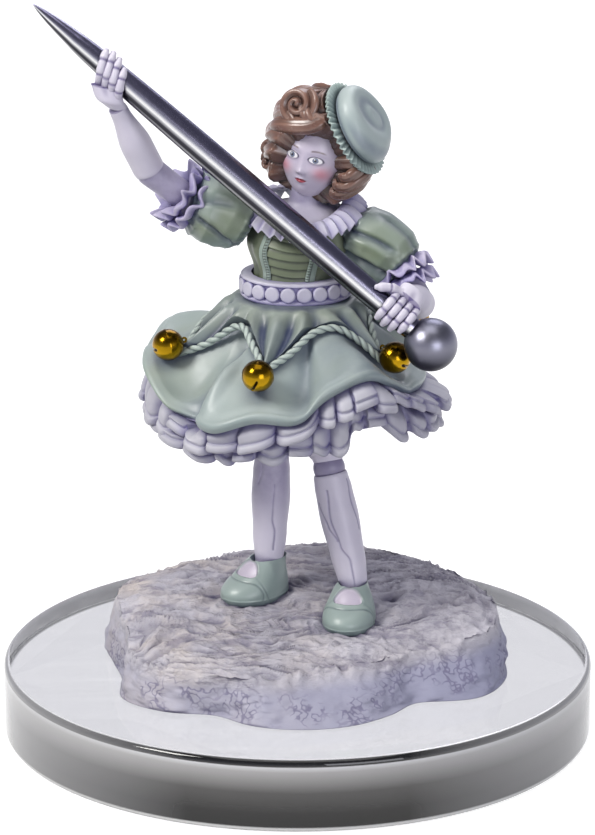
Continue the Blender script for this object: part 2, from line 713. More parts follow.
def rock():
    """The sculpted ground: a rippled top, a smoother wall with cracks, and a closed underside.

    The last number of its own colour marks how far down the wall a point is.
    """
    def rule(u, v):
        angle = TURN * u
        foot = ROCK_RADIUS * around(ROCK_FOOT_SHARES, angle)
        edge = ROCK_RADIUS * around(ROCK_EDGE_SHARES, angle)
        if v < ROCK_TOP_ROWS:
            reach = edge * (v / ROCK_TOP_ROWS) ** 0.85
            point = polar(ROCK_CENTRE, reach, angle, 0)
            rise, depth = rock_grain(point.x, point.y)
            bare = 1 - 0.75 * shoe_hollow(point.xy)
            rounding = ROCK_ROUNDING * ease(0.78, 1.0, reach / edge) ** 2
            pit = max(hump((point.xy - spot).length, size) for spot, size in PITS)
            point.z = rock_level(point.y) + rise * bare - rounding - 0.3 * pit
            return point, max(depth * bare, pit), UNPAINTED
        down = clamp((v - ROCK_TOP_ROWS) / (ROCK_WALL_ROWS - ROCK_TOP_ROWS))
        if v > ROCK_WALL_ROWS:
            inward = (v - ROCK_WALL_ROWS) / (1 - ROCK_WALL_ROWS)
            return polar(ROCK_CENTRE, foot * (1 - inward), angle, DISC_TOP + GAP), 0, (0, 0, 0, 1)
        rim = polar(ROCK_CENTRE, edge, angle, 0)
        top = rock_level(rim.y) - ROCK_ROUNDING
        slope = mix(edge, foot, down ** 0.8)
        point = polar(ROCK_CENTRE, slope, angle, mix(top, DISC_TOP + GAP, down))
        rise, depth = rock_grain(rim.x, rim.y)
        fade = 1 - ease(0.0, 0.22, down)
        lump = 0.22 * rough(point * 0.55) + 0.05 * rough(point / 0.5)
        crack = 0
        for middle, sway in WALL_CRACKS:
            bend = middle + 0.12 * sway * math.sin(9 * down + 5 * middle) + 0.03 * noise.noise(point * 1.5)
            crack = max(crack, sway * hump(angle_from(angle, bend) * slope, 0.06) * ease(1.0, 0.75, down))
        out = (lump - 0.08 * crack) * ease(1.0, 0.9, down)
        point += Vector((math.sin(angle), -math.cos(angle), 0)) * out
        point.z += rise * fade
        return point, clamp(depth * fade + 0.8 * crack), (0, 0, 0, ease(0, 0.35, down))

    piece("rock_ground", skin(360, 250, rule), STONE, ["rock"])


rock()


# Skirts. How far each hem hangs and how far out it stands, as shares of the skirt's drop and radius, and
# how its folds swell, all once round from the front
DROP_SHARES = [
    0.81, 0.6, 0.5, 0.64, 0.77, 0.8, 0.806, 0.8, 0.85, 0.8, 0.7, 0.76, 0.87, 0.83, 0.7, 0.587, 0.543, 0.565,
    0.6, 0.674, 0.848, 0.94, 0.94, 0.82,
]
UPPER_DROP_SHARES = [
    0.98, 0.82, 0.75, 0.84, 0.95, 1.03, 1.06, 1.06, 1.087, 1.087, 1, 0.978, 1.065, 1.109, 1.043, 0.978, 1,
    1.043, 1.065, 1.087, 1.12, 1.137, 1.172, 1.1,
]
LOWER_DROP_SHARES = [
    1.2, 1.17, 0.965, 1.07, 1.2, 1.27, 1.26, 1.24, 1.28, 1.26, 1.196, 1.196, 1.261, 1.283, 1.239, 1.196,
    1.196, 1.217, 1.217, 1.217, 1.228, 1.278, 1.309, 1.25,
]
REACH_SHARES = [
    1, 0.94, 0.93, 0.88, 0.85, 0.84, 0.84, 0.88, 0.95, 0.92, 0.9, 0.96, 1.02, 0.98, 0.93, 0.95, 0.97, 0.94,
    0.96, 0.99, 0.95, 0.92, 1.05, 1.02,
]
FOLD_SHARES = [
    -0.5, -0.1, 0.5, -0.3, -0.6, -0.1, 0.3, -0.5, 0.6, -0.2, -0.6, 0.3, 0.7, 0, -0.6, 0.2, 0.2, -0.2, 0.1,
    -0.5, -0.9, 0.4, 0.3, 0.1,
]
WAIST_LINE = place("waist").z
SKIRT_TOP = WAIST_LINE - 0.4
SKIRT_CENTRE = place("waist")
RUFFLE_RADIUS = SKIRT_RADIUS - 0.05

# Shares of the rows at which the overskirt's cloth and the band of its hem end
SKIRT_ROWS, BAND_ROWS = 0.78, 0.9


def hang(shares, angle):
    """Height of a hem."""
    return WAIST_LINE - SKIRT_DROP * around(shares, angle)


def hem_reach(angle):
    """Radius of the overskirt's hem."""
    return SKIRT_RADIUS * around(REACH_SHARES, angle)


def skirt_point(angle, share):
    """Radius and height of the overskirt, from the waist at share 0 to the hem band at share 1."""
    reach = hem_reach(angle)
    foot = hang(DROP_SHARES, angle) + HEM_BAND
    swell = max(math.sin(math.pi * clamp(share) ** 1.7), 0) ** 1.2
    fold = SKIRT_BULGE * around(FOLD_SHARES, angle) * swell
    bend = max(1, SKIRT_SLOPE * (reach - SKIRT_TOP_RADIUS) / (SKIRT_TOP - foot))
    return mix(SKIRT_TOP_RADIUS, reach, share), mix(foot, SKIRT_TOP, max(1 - share, 0) ** bend) + fold


def skirt_normal(angle, share):
    """Which way the overskirt faces there: outwards in x and up in y."""
    r0, z0 = skirt_point(angle, max(share - 0.05, 0))
    r1, z1 = skirt_point(angle, share + 0.05)
    return Vector((z0 - z1, r1 - r0)).normalized()


# Creases of the overskirt: angle at the waist and at the hem, half width, width of the slope down to it,
# depth, and where it starts
CREASES = [
    (-0.6, -0.77, 0.1, 0.34, 0.85, 0.1),
    (0.2, 0.06, 0.1, 0.12, 0.34, 0.15),
    (-1.5, -1.65, 0.12, 0.14, 0.2, 0.3),
    (0.95, 1.0, 0.13, 0.2, 0.28, 0.3),
    (1.75, 1.8, 0.16, 0.2, 0.35, 0.25),
    (2.5, 2.45, 0.14, 0.2, 0.35, 0.3),
    (-2.9, -2.85, 0.15, 0.25, 0.35, 0.25),
    (-2.2, -2.3, 0.13, 0.2, 0.3, 0.3),
]


def crease(angle, share):
    """How far the overskirt's folds push it out, and how deep a point lies in one."""
    rise, depth = 0, 0
    for top, hem, width, slope, deep, start in CREASES:
        away = angle_from(angle, mix(top, hem, share))
        reach = ease(start - 0.15, start + 0.2, share) * mix(1, 0.6, ease(0.7, 1, share))
        valley = hump(away, slope if away < 0 else width * 0.5)
        ridge = hump(away - width * 1.2, width * 0.7) * ease(0.35, 0.65, share)
        rise += deep * reach * (0.4 * ridge - valley)
        shade = hump(away, width * 1.5 if away < 0 else width * 0.6)
        depth = max(depth, reach * shade * min(deep * 1.5, 0.95))
    return rise, depth


def overskirt():
    """The folded overskirt, with the band of its hem turned in below."""
    def rule(u, v):
        angle = TURN * u
        share = clamp(v / SKIRT_ROWS)
        radius, height = skirt_point(angle, share)
        rise, depth = crease(angle, share)
        depth = max(depth, 0.42 * hump(angle_from(angle, 0.6), 0.42) * ease(0.1, 0.4, share))
        normal = skirt_normal(angle, min(share, 0.95))
        radius, height = radius + rise * normal.x, height + rise * normal.y
        hem = hang(DROP_SHARES, angle) + rise * 0.4
        if v <= SKIRT_ROWS:
            return polar(SKIRT_CENTRE, radius, angle, height - HEM_DIP * ease(0.88, 1.0, share) ** 2), depth
        if v <= BAND_ROWS:
            down = (v - SKIRT_ROWS) / (BAND_ROWS - SKIRT_ROWS)
            out = radius + 0.15 * math.sin(math.pi * down ** 0.7)
            return polar(SKIRT_CENTRE, out, angle, mix(height - HEM_DIP, hem, down)), depth * 0.7
        inward = (v - BAND_ROWS) / (1 - BAND_ROWS)
        return polar(SKIRT_CENTRE, radius - 0.9 * inward - 0.02, angle, hem + 0.25 * inward), 0.5

    piece("overskirt_cloth", skin(540, 110, rule), GREEN, ["overskirt"])


overskirt()


# Where the flounces meet, in degrees from the front, once round from the doll's right
UPPER_LOBES = [-90, -80, -69, -58, -47, -34.6, -22, -7.8, 9.3, 16, 22.6, 32, 40.7, 50.5, 62, 76, 90, 103,
               115, 129, 142, 156, 168, 181, 195, 207, 220, 233, 246, 258, 270]
LOWER_LOBES = [-90, -77, -64, -49.5, -34, -24.9, -16.3, -2.4, 6.5, 14.2, 23.1, 29, 37.5, 53.4, 69, 90, 101,
               114, 126, 139, 150, 163, 176, 188, 201, 213, 226, 238, 249, 259, 270]

# Outline of a flounce's thick hem: how far out and how high above its lowest point
HEM_OUTLINE = [(0, 0.5), (-0.04, 0.42), (-0.05, 0.37), (0.05, 0.31), (0.1, 0.2), (0.09, 0.08), (0.0, 0.0),
               (-0.14, 0.03), (-0.26, 0.16)]

# Shares of the rows at which a flounce's cloth and its thick hem end
FLOUNCE_ROWS, HEM_ROWS = 0.6, 0.9


def lobe(angle, edges):
    """Which flounce an angle lies in: its number, its start, its width and the share of its width."""
    here = (math.degrees(angle) - edges[0]) % 360 + edges[0]
    for index, (low, high) in enumerate(zip(edges, edges[1:])):
        if here <= high:
            return index, math.radians(low), math.radians(high - low), (here - low) / (high - low)
    return len(edges) - 2, math.radians(edges[-2]), math.radians(edges[-1] - edges[-2]), 1.0


def ruffle(name, node, shares, inset, edges, seed, cover, pointed):
    """A row of flounces that overlap and hang from under cover(angle), which gives a radius and height."""
    hem_path = curve_of_values([Vector((out, up, 0)) for out, up in HEM_OUTLINE])

    def rule(u, v):
        index, start, width, t = lobe(TURN * u, edges)
        chance, other = (noise.cell(Vector((index * 1.7 + seed, at, seed))) for at in (3.3, 8.9))
        middle = mix(0.32, 0.52, other)
        proud = ease(-0.04, middle, t) * ease(1.04, middle + 0.16, t) * (1 - 0.25 * t)
        tongue = (1 - abs(2 * t - 1) ** 1.4) if pointed else proud
        fall = clamp(v / FLOUNCE_ROWS)
        loose = ease(0.0, 0.7, fall)
        overlap = mix(0.7, 1.3, chance) * loose
        angle = start + width * (t - overlap * math.sin(TURN * t) / TURN)
        size = clamp(width / 0.24, 0.6, 1.15) * mix(0.7, 1.2, other)
        reach = RUFFLE_RADIUS - inset + size * (0.62 * proud - 0.36) + 0.16 * (chance - 0.5)
        hem = hang(shares, angle) - size * (0.5 if pointed else 0.24) * (tongue - 0.5) - 0.2 * (other - 0.5)
        hem += 0.5 * (chance - 0.5) * (t - 0.5) * math.sin(math.pi * t)
        hollow = hump(t - 0.5, 0.2) * (other > 0.72 and pointed)
        valley = max((1 - proud) ** 1.3, 0.35 * hump(angle_from(start, 0.95), 0.5))
        top_radius, top_height = cover(angle)
        if v < FLOUNCE_ROWS:
            belly = 0.16 * math.sin(math.pi * fall) * proud
            dent = 0.3 * hollow * hump(fall - 0.8, 0.25)
            out = mix(top_radius, reach, fall ** 0.8) - (1 - loose) * 0.1 + belly - dent
            height = mix(top_height, hem + HEM_OUTLINE[0][1], fall ** 0.9)
            depth = clamp(valley * loose * 0.8 + dent * 2 + 0.5 * (1 - fall) ** 3)
            return polar(SKIRT_CENTRE, out, angle, height), depth
        if v < HEM_ROWS:
            shift = hem_path((v - FLOUNCE_ROWS) / (HEM_ROWS - FLOUNCE_ROWS))
            groove = 0.2 * hump(shift.y - 0.39, 0.05) + 0.6 * ease(0.02, -0.2, shift.x)
            return polar(SKIRT_CENTRE, reach + shift.x, angle, hem + shift.y), clamp(0.8 * valley + groove)
        inward = (v - HEM_ROWS) / (1 - HEM_ROWS)
        last = HEM_OUTLINE[-1]
        inner = mix(reach + last[0], 0.9 if inward > 0.99 else reach - 1.5, inward)
        return polar(SKIRT_CENTRE, inner, angle, hem + last[1] + 0.35 * inward), 0.7

    piece(name, skin(900, 56, rule), FLOUNCE, [node])


def hem_cover(angle):
    """Radius and height under the overskirt's hem."""
    fold = min(crease(angle, 0.95)[0], 0)
    return hem_reach(angle) - 0.5 + 0.4 * fold, hang(DROP_SHARES, angle) + 0.12 + 0.9 * fold


def ruffle_cover(angle):
    """Radius and height under the upper flounces."""
    return RUFFLE_RADIUS - 0.75, hang(UPPER_DROP_SHARES, angle) + 0.25


ruffle("ruffle_upper", "upper_petticoat", UPPER_DROP_SHARES, 0, UPPER_LOBES, 1.3, hem_cover, False)
ruffle("ruffle_lower", "lower_petticoat", LOWER_DROP_SHARES, 0.28, LOWER_LOBES, 4.1, ruffle_cover, True)


def lining():
    """The closed underside of the petticoats."""
    def rule(u, v):
        angle = TURN * u
        level = WAIST_LINE - 0.98 * SKIRT_DROP
        if v < 0.5:
            return polar(SKIRT_CENTRE, (RUFFLE_RADIUS - 0.7) * v * 2, angle, level), 0.6
        rise = (v - 0.5) * 2
        return polar(SKIRT_CENTRE, (RUFFLE_RADIUS - 0.7) * (1 - rise), angle, level + 1.4 * rise + 0.1), 0.6

    piece("petticoat_lining", skin(96, 12, rule), LACE)


lining()

# Overlay with its cord and bells. The edge runs between its points and the tops of its arches, as shares
# of the way down the overskirt
POINT_STEPS = [-15, -3, 11, 23, 38]
POINT_ANGLES = [TURN * step / 72 for step in POINT_STEPS]
POINT_SHARE, ARCH_SHARE = 0.555, 0.124
OVERLAY_LIFT = 0.25
# Shares of the rows at which the overlay's top and its cloth end
OVERLAY_TOP_ROWS, OVERLAY_ROWS = 0.06, 0.8
CORD_LIFT, CORD_PITCH = 0.21, 0.44
BELL_RADIUS, BELL_DROP = 0.66, 0.72
BELLS = ["right_bell", "front_bell", "left_bell", "left_back_bell", "back_bell"]


def between_points(angle):
    """Which two points an angle lies between, and its share of the way."""
    here = POINT_ANGLES[0] + (angle - POINT_ANGLES[0]) % TURN
    steps = [*POINT_ANGLES, POINT_ANGLES[0] + TURN]
    for low, high in zip(steps, steps[1:]):
        if here <= high:
            return low, high, (here - low) / (high - low)
    return steps[-2], steps[-1], 1


def overlay_edge(angle):
    """How far down the overskirt the overlay's edge lies."""
    low, high, t = between_points(angle)
    arch = max(math.sin(math.pi * t), 0) ** 0.62
    return mix(POINT_SHARE, ARCH_SHARE, arch)


def overlay_rise(angle, share):
    """Gathers of the overlay, which run together at its points."""
    nearest = min(POINT_ANGLES, key=lambda point: abs(angle_from(angle, point)))
    away = angle_from(angle, nearest)
    spread = mix(0.36, 0.07, ease(0.0, POINT_SHARE, share))
    wave = math.cos(5.4 * away / spread) * hump(away, spread * 1.7)
    long_wave = math.sin(11 * angle + 2 * math.sin(3 * angle)) * (1 - hump(away, 0.3))
    rise = 0.17 * wave * ease(0, 0.12, share) + 0.09 * long_wave
    return rise, clamp(-wave * 1.3) * ease(0, 0.15, share) + 0.5 * clamp(-long_wave)


def overlay():
    """The gathered overlay, with its edge turned under."""
    def rule(u, v):
        angle = TURN * u
        edge = overlay_edge(angle)
        if v < OVERLAY_TOP_ROWS:
            radius, height = skirt_point(angle, 0)
            inward = 1 - v / OVERLAY_TOP_ROWS
            height += OVERLAY_LIFT + 0.12 * ease(0, 0.5, inward)
            return polar(SKIRT_CENTRE, (radius + 0.15) * (1 - inward), angle, height), 0.7
        if v < OVERLAY_ROWS:
            share = edge * (v - OVERLAY_TOP_ROWS) / (OVERLAY_ROWS - OVERLAY_TOP_ROWS)
            radius, height = skirt_point(angle, share)
            rise, depth = overlay_rise(angle, share)
            lift = OVERLAY_LIFT + rise
            return polar(SKIRT_CENTRE, radius + lift * 0.6, angle, height + lift), depth
        down = (v - OVERLAY_ROWS) / (1 - OVERLAY_ROWS)
        share = edge * (1 - 0.5 * ease(0.3, 1, down))
        radius, height = skirt_point(angle, share)
        rise, _ = overlay_rise(angle, edge)
        lift = mix(OVERLAY_LIFT + rise, 0.04, ease(0, 0.4, down))
        return polar(SKIRT_CENTRE, radius + lift * 0.6, angle, height + lift), 0.4

    piece("overlay_cloth", skin(720, 60, rule), OVERLAY_PAINT, ["overlay"])


overlay()


def cord():
    """Two strands twisted round each other along the overlay's edge."""
    spread = (GAP + 0.2) / (SKIRT_RADIUS - SKIRT_TOP_RADIUS)
    count = 720
    line = []
    for i in range(count + 1):
        angle = TURN * i / count
        share = overlay_edge(angle) + spread
        radius, height = skirt_point(angle, share)
        normal = skirt_normal(angle, share)
        radius, height = radius + normal.x * CORD_LIFT, height + normal.y * CORD_LIFT
        line.append(polar(SKIRT_CENTRE, radius, angle, height))
    reached = [0.0]
    for a, b in zip(line, line[1:]):
        reached.append(reached[-1] + (b - a).length)
    twists = round(reached[-1] / CORD_PITCH)

    def rule(u, v):
        i = round(u * count)
        point = line[i]
        ahead = (line[(i + 1) % count] - line[(i - 1) % count]).normalized()
        wide = UP.cross(ahead).normalized()
        deep = ahead.cross(wide)
        about = TURN * v
        twist = TURN * twists * reached[i] / reached[-1]
        strand = abs(math.cos(about - twist / 2))
        radius = 0.09 + 0.07 * strand ** 0.8
        out = wide * math.cos(about) + deep * math.sin(about)
        return point + out * radius, clamp(1 - strand * 1.6)

    piece("overlay_rope", skin(count, 20, rule), CORD_PAINT, ["overlay_cord"])


cord()


def bell(node, angle):
    """A jingle bell with a seam, a slot and a ring, which lies on the skirt below a point."""
    share = POINT_SHARE + BELL_DROP / (SKIRT_RADIUS - SKIRT_TOP_RADIUS)
    radius, height = skirt_point(angle, share)
    normal = skirt_normal(angle, share)
    lift = BELL_RADIUS + 3 * GAP
    centre = polar(SKIRT_CENTRE, radius + normal.x * lift, angle, height + normal.y * lift)
    slope = Vector((-math.sin(angle) * normal.y, math.cos(angle) * normal.y, normal.x))
    matrix = basis_along(slope, FORWARD)
    matrix.translation = centre

    def body(u, v):
        fall = math.pi * v
        about = TURN * u
        seam = hump(math.cos(fall), 0.07)
        slot = hump(math.sin(about) * math.sin(fall), 0.07) * ease(-0.84, -0.92, math.cos(fall))
        size = BELL_RADIUS * (1 + 0.02 * seam) - 0.1 * slot
        spread = math.sin(fall) * size
        return Vector((spread * math.sin(about), spread * math.cos(about), math.cos(fall) * size)), slot

    ball = skin(72, 48, body)
    ear = bare_form()
    ring = bmesh.ops.create_circle(ear, segments=12, radius=0.045 * MM)["verts"]
    bmesh.ops.rotate(ear, verts=ring, matrix=Matrix.Rotation(math.pi / 2, 3, "X"))
    bmesh.ops.translate(ear, verts=ring, vec=(0.09 * MM, 0, 0))
    edges = list({edge for vert in ring for edge in vert.link_edges})
    bmesh.ops.spin(ear, geom=ring + edges, cent=(0, 0, 0), axis=(0, 1, 0), angle=TURN, steps=24,
                   use_merge=True)
    bmesh.ops.translate(ear, verts=ear.verts, vec=(0, 0, 0.7 * MM))
    bmesh.ops.recalc_face_normals(ear, faces=ear.faces)
    piece("jingle_" + node, framed(gathered([ball, ear]), matrix), GOLD, [node])


for bell_node, bell_angle in zip(BELLS, POINT_ANGLES):
    bell(bell_node, bell_angle)


# Legs. How dark each gets towards the knee, and its cracks as rows of (share of the way up, angle)
KNEE_SHADE = {"right": 0.6, "left": 0}
LEG_CRACKS = {
    "right": [
        [(0.27, -0.25), (0.41, -0.3), (0.52, -0.12), (0.62, -0.13), (0.81, -0.2)],
        [(0.8, 0.75), (0.9, 0.55), (0.98, 0.62)],
    ],
    "left": [
        [(0.05, -0.13), (0.34, -0.13), (0.46, 0.25), (0.68, 0.45), (0.9, 0.32)],
        [(0.5, 0.35), (0.62, 0.7), (0.81, 1.1)],
        [(0.55, -1.2), (0.78, -0.95), (0.95, -1.1)],
    ],
}


def leg_cracks(side):
    """Thin cracks down a leg, which gets darker towards the knee."""
    def relief(angle, share):
        rise, depth = 0, KNEE_SHADE[side] * ease(0.35, 0.95, share)
        for crack in LEG_CRACKS[side]:
            if crack[0][0] <= share <= crack[-1][0]:
                away = angle_from(angle, along(crack, share)) * 0.75
                line = hump(away, 0.045)
                rise -= 0.04 * line
                depth = max(depth, 0.75 * line)
        return rise, depth

    return relief


def lower_leg(side):
    ankle, knee = place(side + "Ankle"), place(side + "Knee")
    instep = ankle.copy()
    instep.z = place(side + "Sole").z + SHOE_HEIGHT / 3
    calf = ankle.lerp(knee, 0.6)
    calf.y += CALF * 0.15
    sections = [(0, ANKLE * 0.94), (0.12, ANKLE), (0.4, mix(ANKLE, CALF, 0.6)), (0.68, CALF),
                (0.88, KNEE), (0.985, KNEE * 0.93), (1, KNEE * 0.88)]
    return limb([instep, ankle, calf, knee], sections, sides=130, rows=170, relief=leg_cracks(side),
                round_ends=0.05)


def sole_outline(angle):
    """Radius of the sole, which is a little wider at the toe."""
    forward = math.cos(angle)
    width = SHOE_WIDTH / 2 * (1 + 0.1 * forward)
    length = SHOE_LENGTH / 2
    return 1 / math.hypot(math.sin(angle) / width, forward / length)


TOE_TURN = {"right": -51, "left": -12}


def shoe_matrix(side):
    matrix = Matrix.Rotation(math.radians(TOE_TURN[side]), 4, "Z")
    matrix.translation = place(side + "Sole")
    return matrix


# Levels of a shoe: height at the toe and at the heel, size and lean towards the ankle
SHOE_LEVELS = [(0, 0, 0.95, 0), (0.1, 0.1, 1, 0), (0.3, 0.36, 1, 0), (0.5, 0.6, 0.88, 0.2),
               (0.66, 0.88, 0.66, 0.65), (0.95, 1, 0.55, 1)]
ANKLE_LEAN = 0.72
# Share of a shoe's rows in its sole, and in the turned-in edge of its opening
SHOE_END_ROWS = 0.06


def shoe_level(column, share):
    """A value of SHOE_LEVELS at a share of the way up."""
    step = share * (len(SHOE_LEVELS) - 1)
    low = min(int(step), len(SHOE_LEVELS) - 2)
    last = len(SHOE_LEVELS) - 1
    near = [SHOE_LEVELS[min(max(low + i, 0), last)][column] for i in (-1, 0, 1, 2)]
    return smooth(*near, step - low)


def shoe(side):
    """The outside of the shoe, with its toe seam, its window and the foot that shows in it."""
    def rule(u, v):
        angle = TURN * u
        level = clamp((v - SHOE_END_ROWS) / (1 - 2 * SHOE_END_ROWS))
        shrink = clamp(min(v, 1 - v) / SHOE_END_ROWS)
        turned_in = v > 1 - SHOE_END_ROWS
        lean = ANKLE_LEAN * shoe_level(3, level)
        size = shoe_level(2, level) * (0.8 + 0.2 * shrink if turned_in else shrink)
        point = polar(Vector((0, lean, 0)), sole_outline(angle) * size, angle, 0)
        heel = ease(-0.4, 0.1, point.y / SHOE_LENGTH)
        height = mix(shoe_level(0, level), shoe_level(1, level), heel) * SHOE_HEIGHT
        if turned_in:
            height -= 0.25 * (1 - shrink)
        edge_welt = 0.03 * hump(height - 0.22, 0.05)
        x, y = point.x, point.y
        on_top = 0 if turned_in else ease(0.5, 0.75, level)
        window = math.hypot(x / (SHOE_WIDTH * 0.27), (y + SHOE_LENGTH * 0.14) / 0.3)
        hole = ease(1.08, 0.94, window) * ease(0.45, 0.6, level)
        rim = hump(window - 1.15, 0.14) * ease(0.45, 0.6, level)
        seam = hump(y + SHOE_LENGTH * 0.14 + 0.55 - 0.5 * x * x, 0.035) * ease(0.1, 0.3, level)
        side_seam = hump(y + 0.25 + 0.4 * (height - 0.5), 0.03) * ease(0.9, 0.4, level) * (abs(x) > 0.5)
        strap = hump(y - 0.2 - 0.15 * abs(x), 0.16) * on_top
        out = edge_welt - 0.04 * seam - 0.03 * side_seam + 0.03 * strap
        push = Vector((math.sin(angle), -math.cos(angle), 0.6)).normalized()
        point.z = height
        point = point + push * out + Vector((0, 0, -0.13 * hole + 0.03 * rim))
        edge = hump(window - 1.02, 0.06) * ease(0.45, 0.6, level)
        foot = srgb("c9c0cf")[:3] + (hole,)
        return point, clamp(0.6 * seam + 0.6 * side_seam + 0.7 * edge), foot

    return framed(skin(150, 120, rule), shoe_matrix(side))


def buckle(side):
    """A small buckle on the outer side of the strap."""
    form = bare_form()
    bmesh.ops.create_cone(form, cap_ends=True, segments=20, radius1=0.13 * MM, radius2=0.11 * MM,
                          depth=0.07 * MM)
    rim = [edge for edge in form.edges if abs(edge.verts[0].co.z - edge.verts[1].co.z) < 1e-7]
    bmesh.ops.bevel(form, geom=rim, offset=0.015 * MM, offset_type="OFFSET", segments=3, profile=0.5,
                    affect="EDGES", material=-1)
    local = basis_along(Vector((1, 0.1, 0.25)), UP)
    local.translation = Vector((0.83, 0.22, 0.98))
    return framed(form, shoe_matrix(side) @ local)


def knee_ball(side):
    knee = place(side + "Knee")
    middle = knee + (place(side + "Hip") - knee).normalized() * KNEE * 0.3

    def rule(u, v):
        point = polar(Vector(), math.sin(math.pi * v), TURN * u, math.cos(math.pi * v))
        return middle + point * KNEE * 0.86, 0.1 + 0.15 * hump(point.z, 0.1)

    return skin(64, 40, rule)


def leg(side):
    piece(side + "_shin", lower_leg(side), PORCELAIN, [side + "_lower_leg"])
    whole_shoe = gathered([shoe(side), buckle(side)])
    piece(side + "_strap_shoe", whole_shoe, SHOE_PAINT, [side + "_shoe"])
    hip, knee = place(side + "Hip"), place(side + "Knee")
    sections = [(0, KNEE * 0.82), (0.1, KNEE), (0.5, THIGH), (1, THIGH)]
    thigh = limb([knee + (hip - knee) * 0.2, hip], sections, sides=72, rows=40)
    piece(side + "_upper_leg", thigh, PORCELAIN, [side + "_thigh"])
    piece(side + "_knee_joint", knee_ball(side), KNEE_PAINT, [side + "_knee_ball"])


for leg_side in SIDES:
    leg(leg_side)


# Forms that the dress, the hands and the hair share
def coil(centre, axis, size, winds, strand, turn, sides=28, rows=260):
    """A curl of hair that winds outwards round an axis, seen from the end that the axis points to."""
    axes = basis_along(axis, UP).to_3x3()
    points = []
    for i in range(41):
        share = i / 40
        about = turn + TURN * winds * share
        reach = size * mix(0.07, 1, share ** 0.9)
        flat = Vector((reach * math.cos(about), reach * math.sin(about), -size * 0.3 * share))
        points.append(centre + axes @ flat)
    sections = [(0, strand * 0.7), (0.2, strand * 0.85), (0.6, strand), (0.9, strand), (1, strand * 0.6)]
    return limb(points, sections, sides, rows, across=axis, relief=strands(3, 0.05), round_ends=0.9)


def strands(count, depth):
    """Grooves that run along a lock of hair."""
    def relief(angle, share):
        wave = math.cos(count * angle + 2.2 * share)
        fine = math.cos((3 * count + 1) * angle - 3 * share)
        return depth * (0.75 * wave + 0.3 * fine), clamp(-wave * 0.5 - 0.1) + clamp(-fine * 0.15)

    return relief


def lofted(rings, sides, rows, relief):
    """A skin over rings, each a (centre, wide, deep), closed with round ends."""
    paths = [curve_of_values([ring[i] for ring in rings]) for i in range(3)]
    end_rows = 0.08

    def rule(u, v):
        share = clamp((v - end_rows) / (1 - 2 * end_rows))
        centre, wide, deep = (path(share) for path in paths)
        shrink = math.sin(clamp(min(v, 1 - v) / end_rows) * math.pi / 2)
        angle = TURN * u
        rise, depth = relief(angle, share)
        out = wide * math.sin(angle) + deep * math.cos(angle)
        return centre + out * shrink * (1 + rise), depth

    return skin(sides, rows, rule)


def turned(profile, sides, rows):
    """A turned form through (radius, height) points."""
    path = curve_through([(radius, height, 0) for radius, height in profile])

    def rule(u, v):
        point, _ = path(v)
        return polar(Vector(), max(point.x, 0), TURN * u, point.y), 0

    return skin(sides, rows, rule)


def pleat(x, sharp):
    """A wave from -1 to 1 whose folds are the sharper the closer sharp is to 1."""
    return math.asin(sharp * math.sin(TURN * x)) / math.asin(sharp)


def frill(inner, outer, thickness, count, swing, scallop, level, sides, rows, drift, sharp=0.96):
    """A pleated ring in its own frame, with its opening along Z, at the height that level gives.

    Its pleats swing up and down and in and out, and drift makes them uneven.
    """
    def rule(u, v):
        angle = TURN * u
        about = TURN * v
        at = count * u + drift * math.sin(3 * angle) + 0.6 * drift * math.sin(7 * angle + 1)
        wave = pleat(at, sharp)
        reach = (1 - math.cos(about)) / 2
        side = math.copysign(abs(math.sin(about)) ** 0.6, math.sin(about))
        radius = mix(inner, outer + scallop * wave, reach)
        height = level(angle, reach) + swing * wave * reach ** 0.8 + side * thickness / 2
        valley = clamp(-wave * side) * reach
        return polar(Vector(), radius, angle, height), clamp(0.75 * valley + 0.35 * (1 - reach))

    return skin(sides, rows, rule)


# Torso
WAIST_LEVEL = SKIRT_TOP + 0.2 + 2 * GAP
NECKLINE = place("neckline").z
TRIM_ANGLES = {"right": math.radians(-42), "left": math.radians(16)}
# Share of the bodice's rows in each of its closed ends
BODICE_END_ROWS = 0.04


def torso_middle(height):
    """Middle of the leaning torso at a height."""
    share = (height - WAIST_LEVEL) / (NECKLINE - WAIST_LEVEL)
    centre = place("waist").lerp(place("neckline"), share)
    return Vector((centre.x, centre.y, 0))


def neckline_at(angle, share=1.0):
    """Height of the neckline, which dips at the front."""
    return NECKLINE - NECKLINE_TILT * share * math.cos(angle)


def bodice_width(share):
    """Half width of the bodice from its waist to its neckline."""
    widening = ease(0.35, 0.75, share)
    return mix(WAIST_WIDTH, BUST_WIDTH, widening) - 0.12 * BUST_WIDTH * ease(0.75, 1, share)


def torso_point(radius, angle, height):
    point = polar(Vector(), radius, angle, height)
    point.y *= TORSO_DEPTH
    return point + torso_middle(height)


def bodice_fold(angle, share):
    """Soft horizontal pleats between the trims and gathers at the sides: (rise, depth)."""
    panel = ease(-0.78, -0.62, angle_from(angle, 0)) * ease(0.5, 0.34, angle_from(angle, 0))
    sag = 0.025 * math.cos(3 * angle)
    row = (share + sag) * 7.5
    t = row - math.floor(row)
    fold = (1 - t) ** 0.8 * ease(0, 0.12, t)
    gather = math.sin(13 * angle + 2.5 * share)
    rise = panel * 0.1 * fold + (1 - panel) * 0.035 * gather
    depth = panel * ease(0.62, 1.0, t) * 0.8 + (1 - panel) * clamp(-gather) * 0.35
    return rise, clamp(depth + 0.5 * ease(0.9, 1, share) + 0.5 * ease(0.34, 0.24, share))


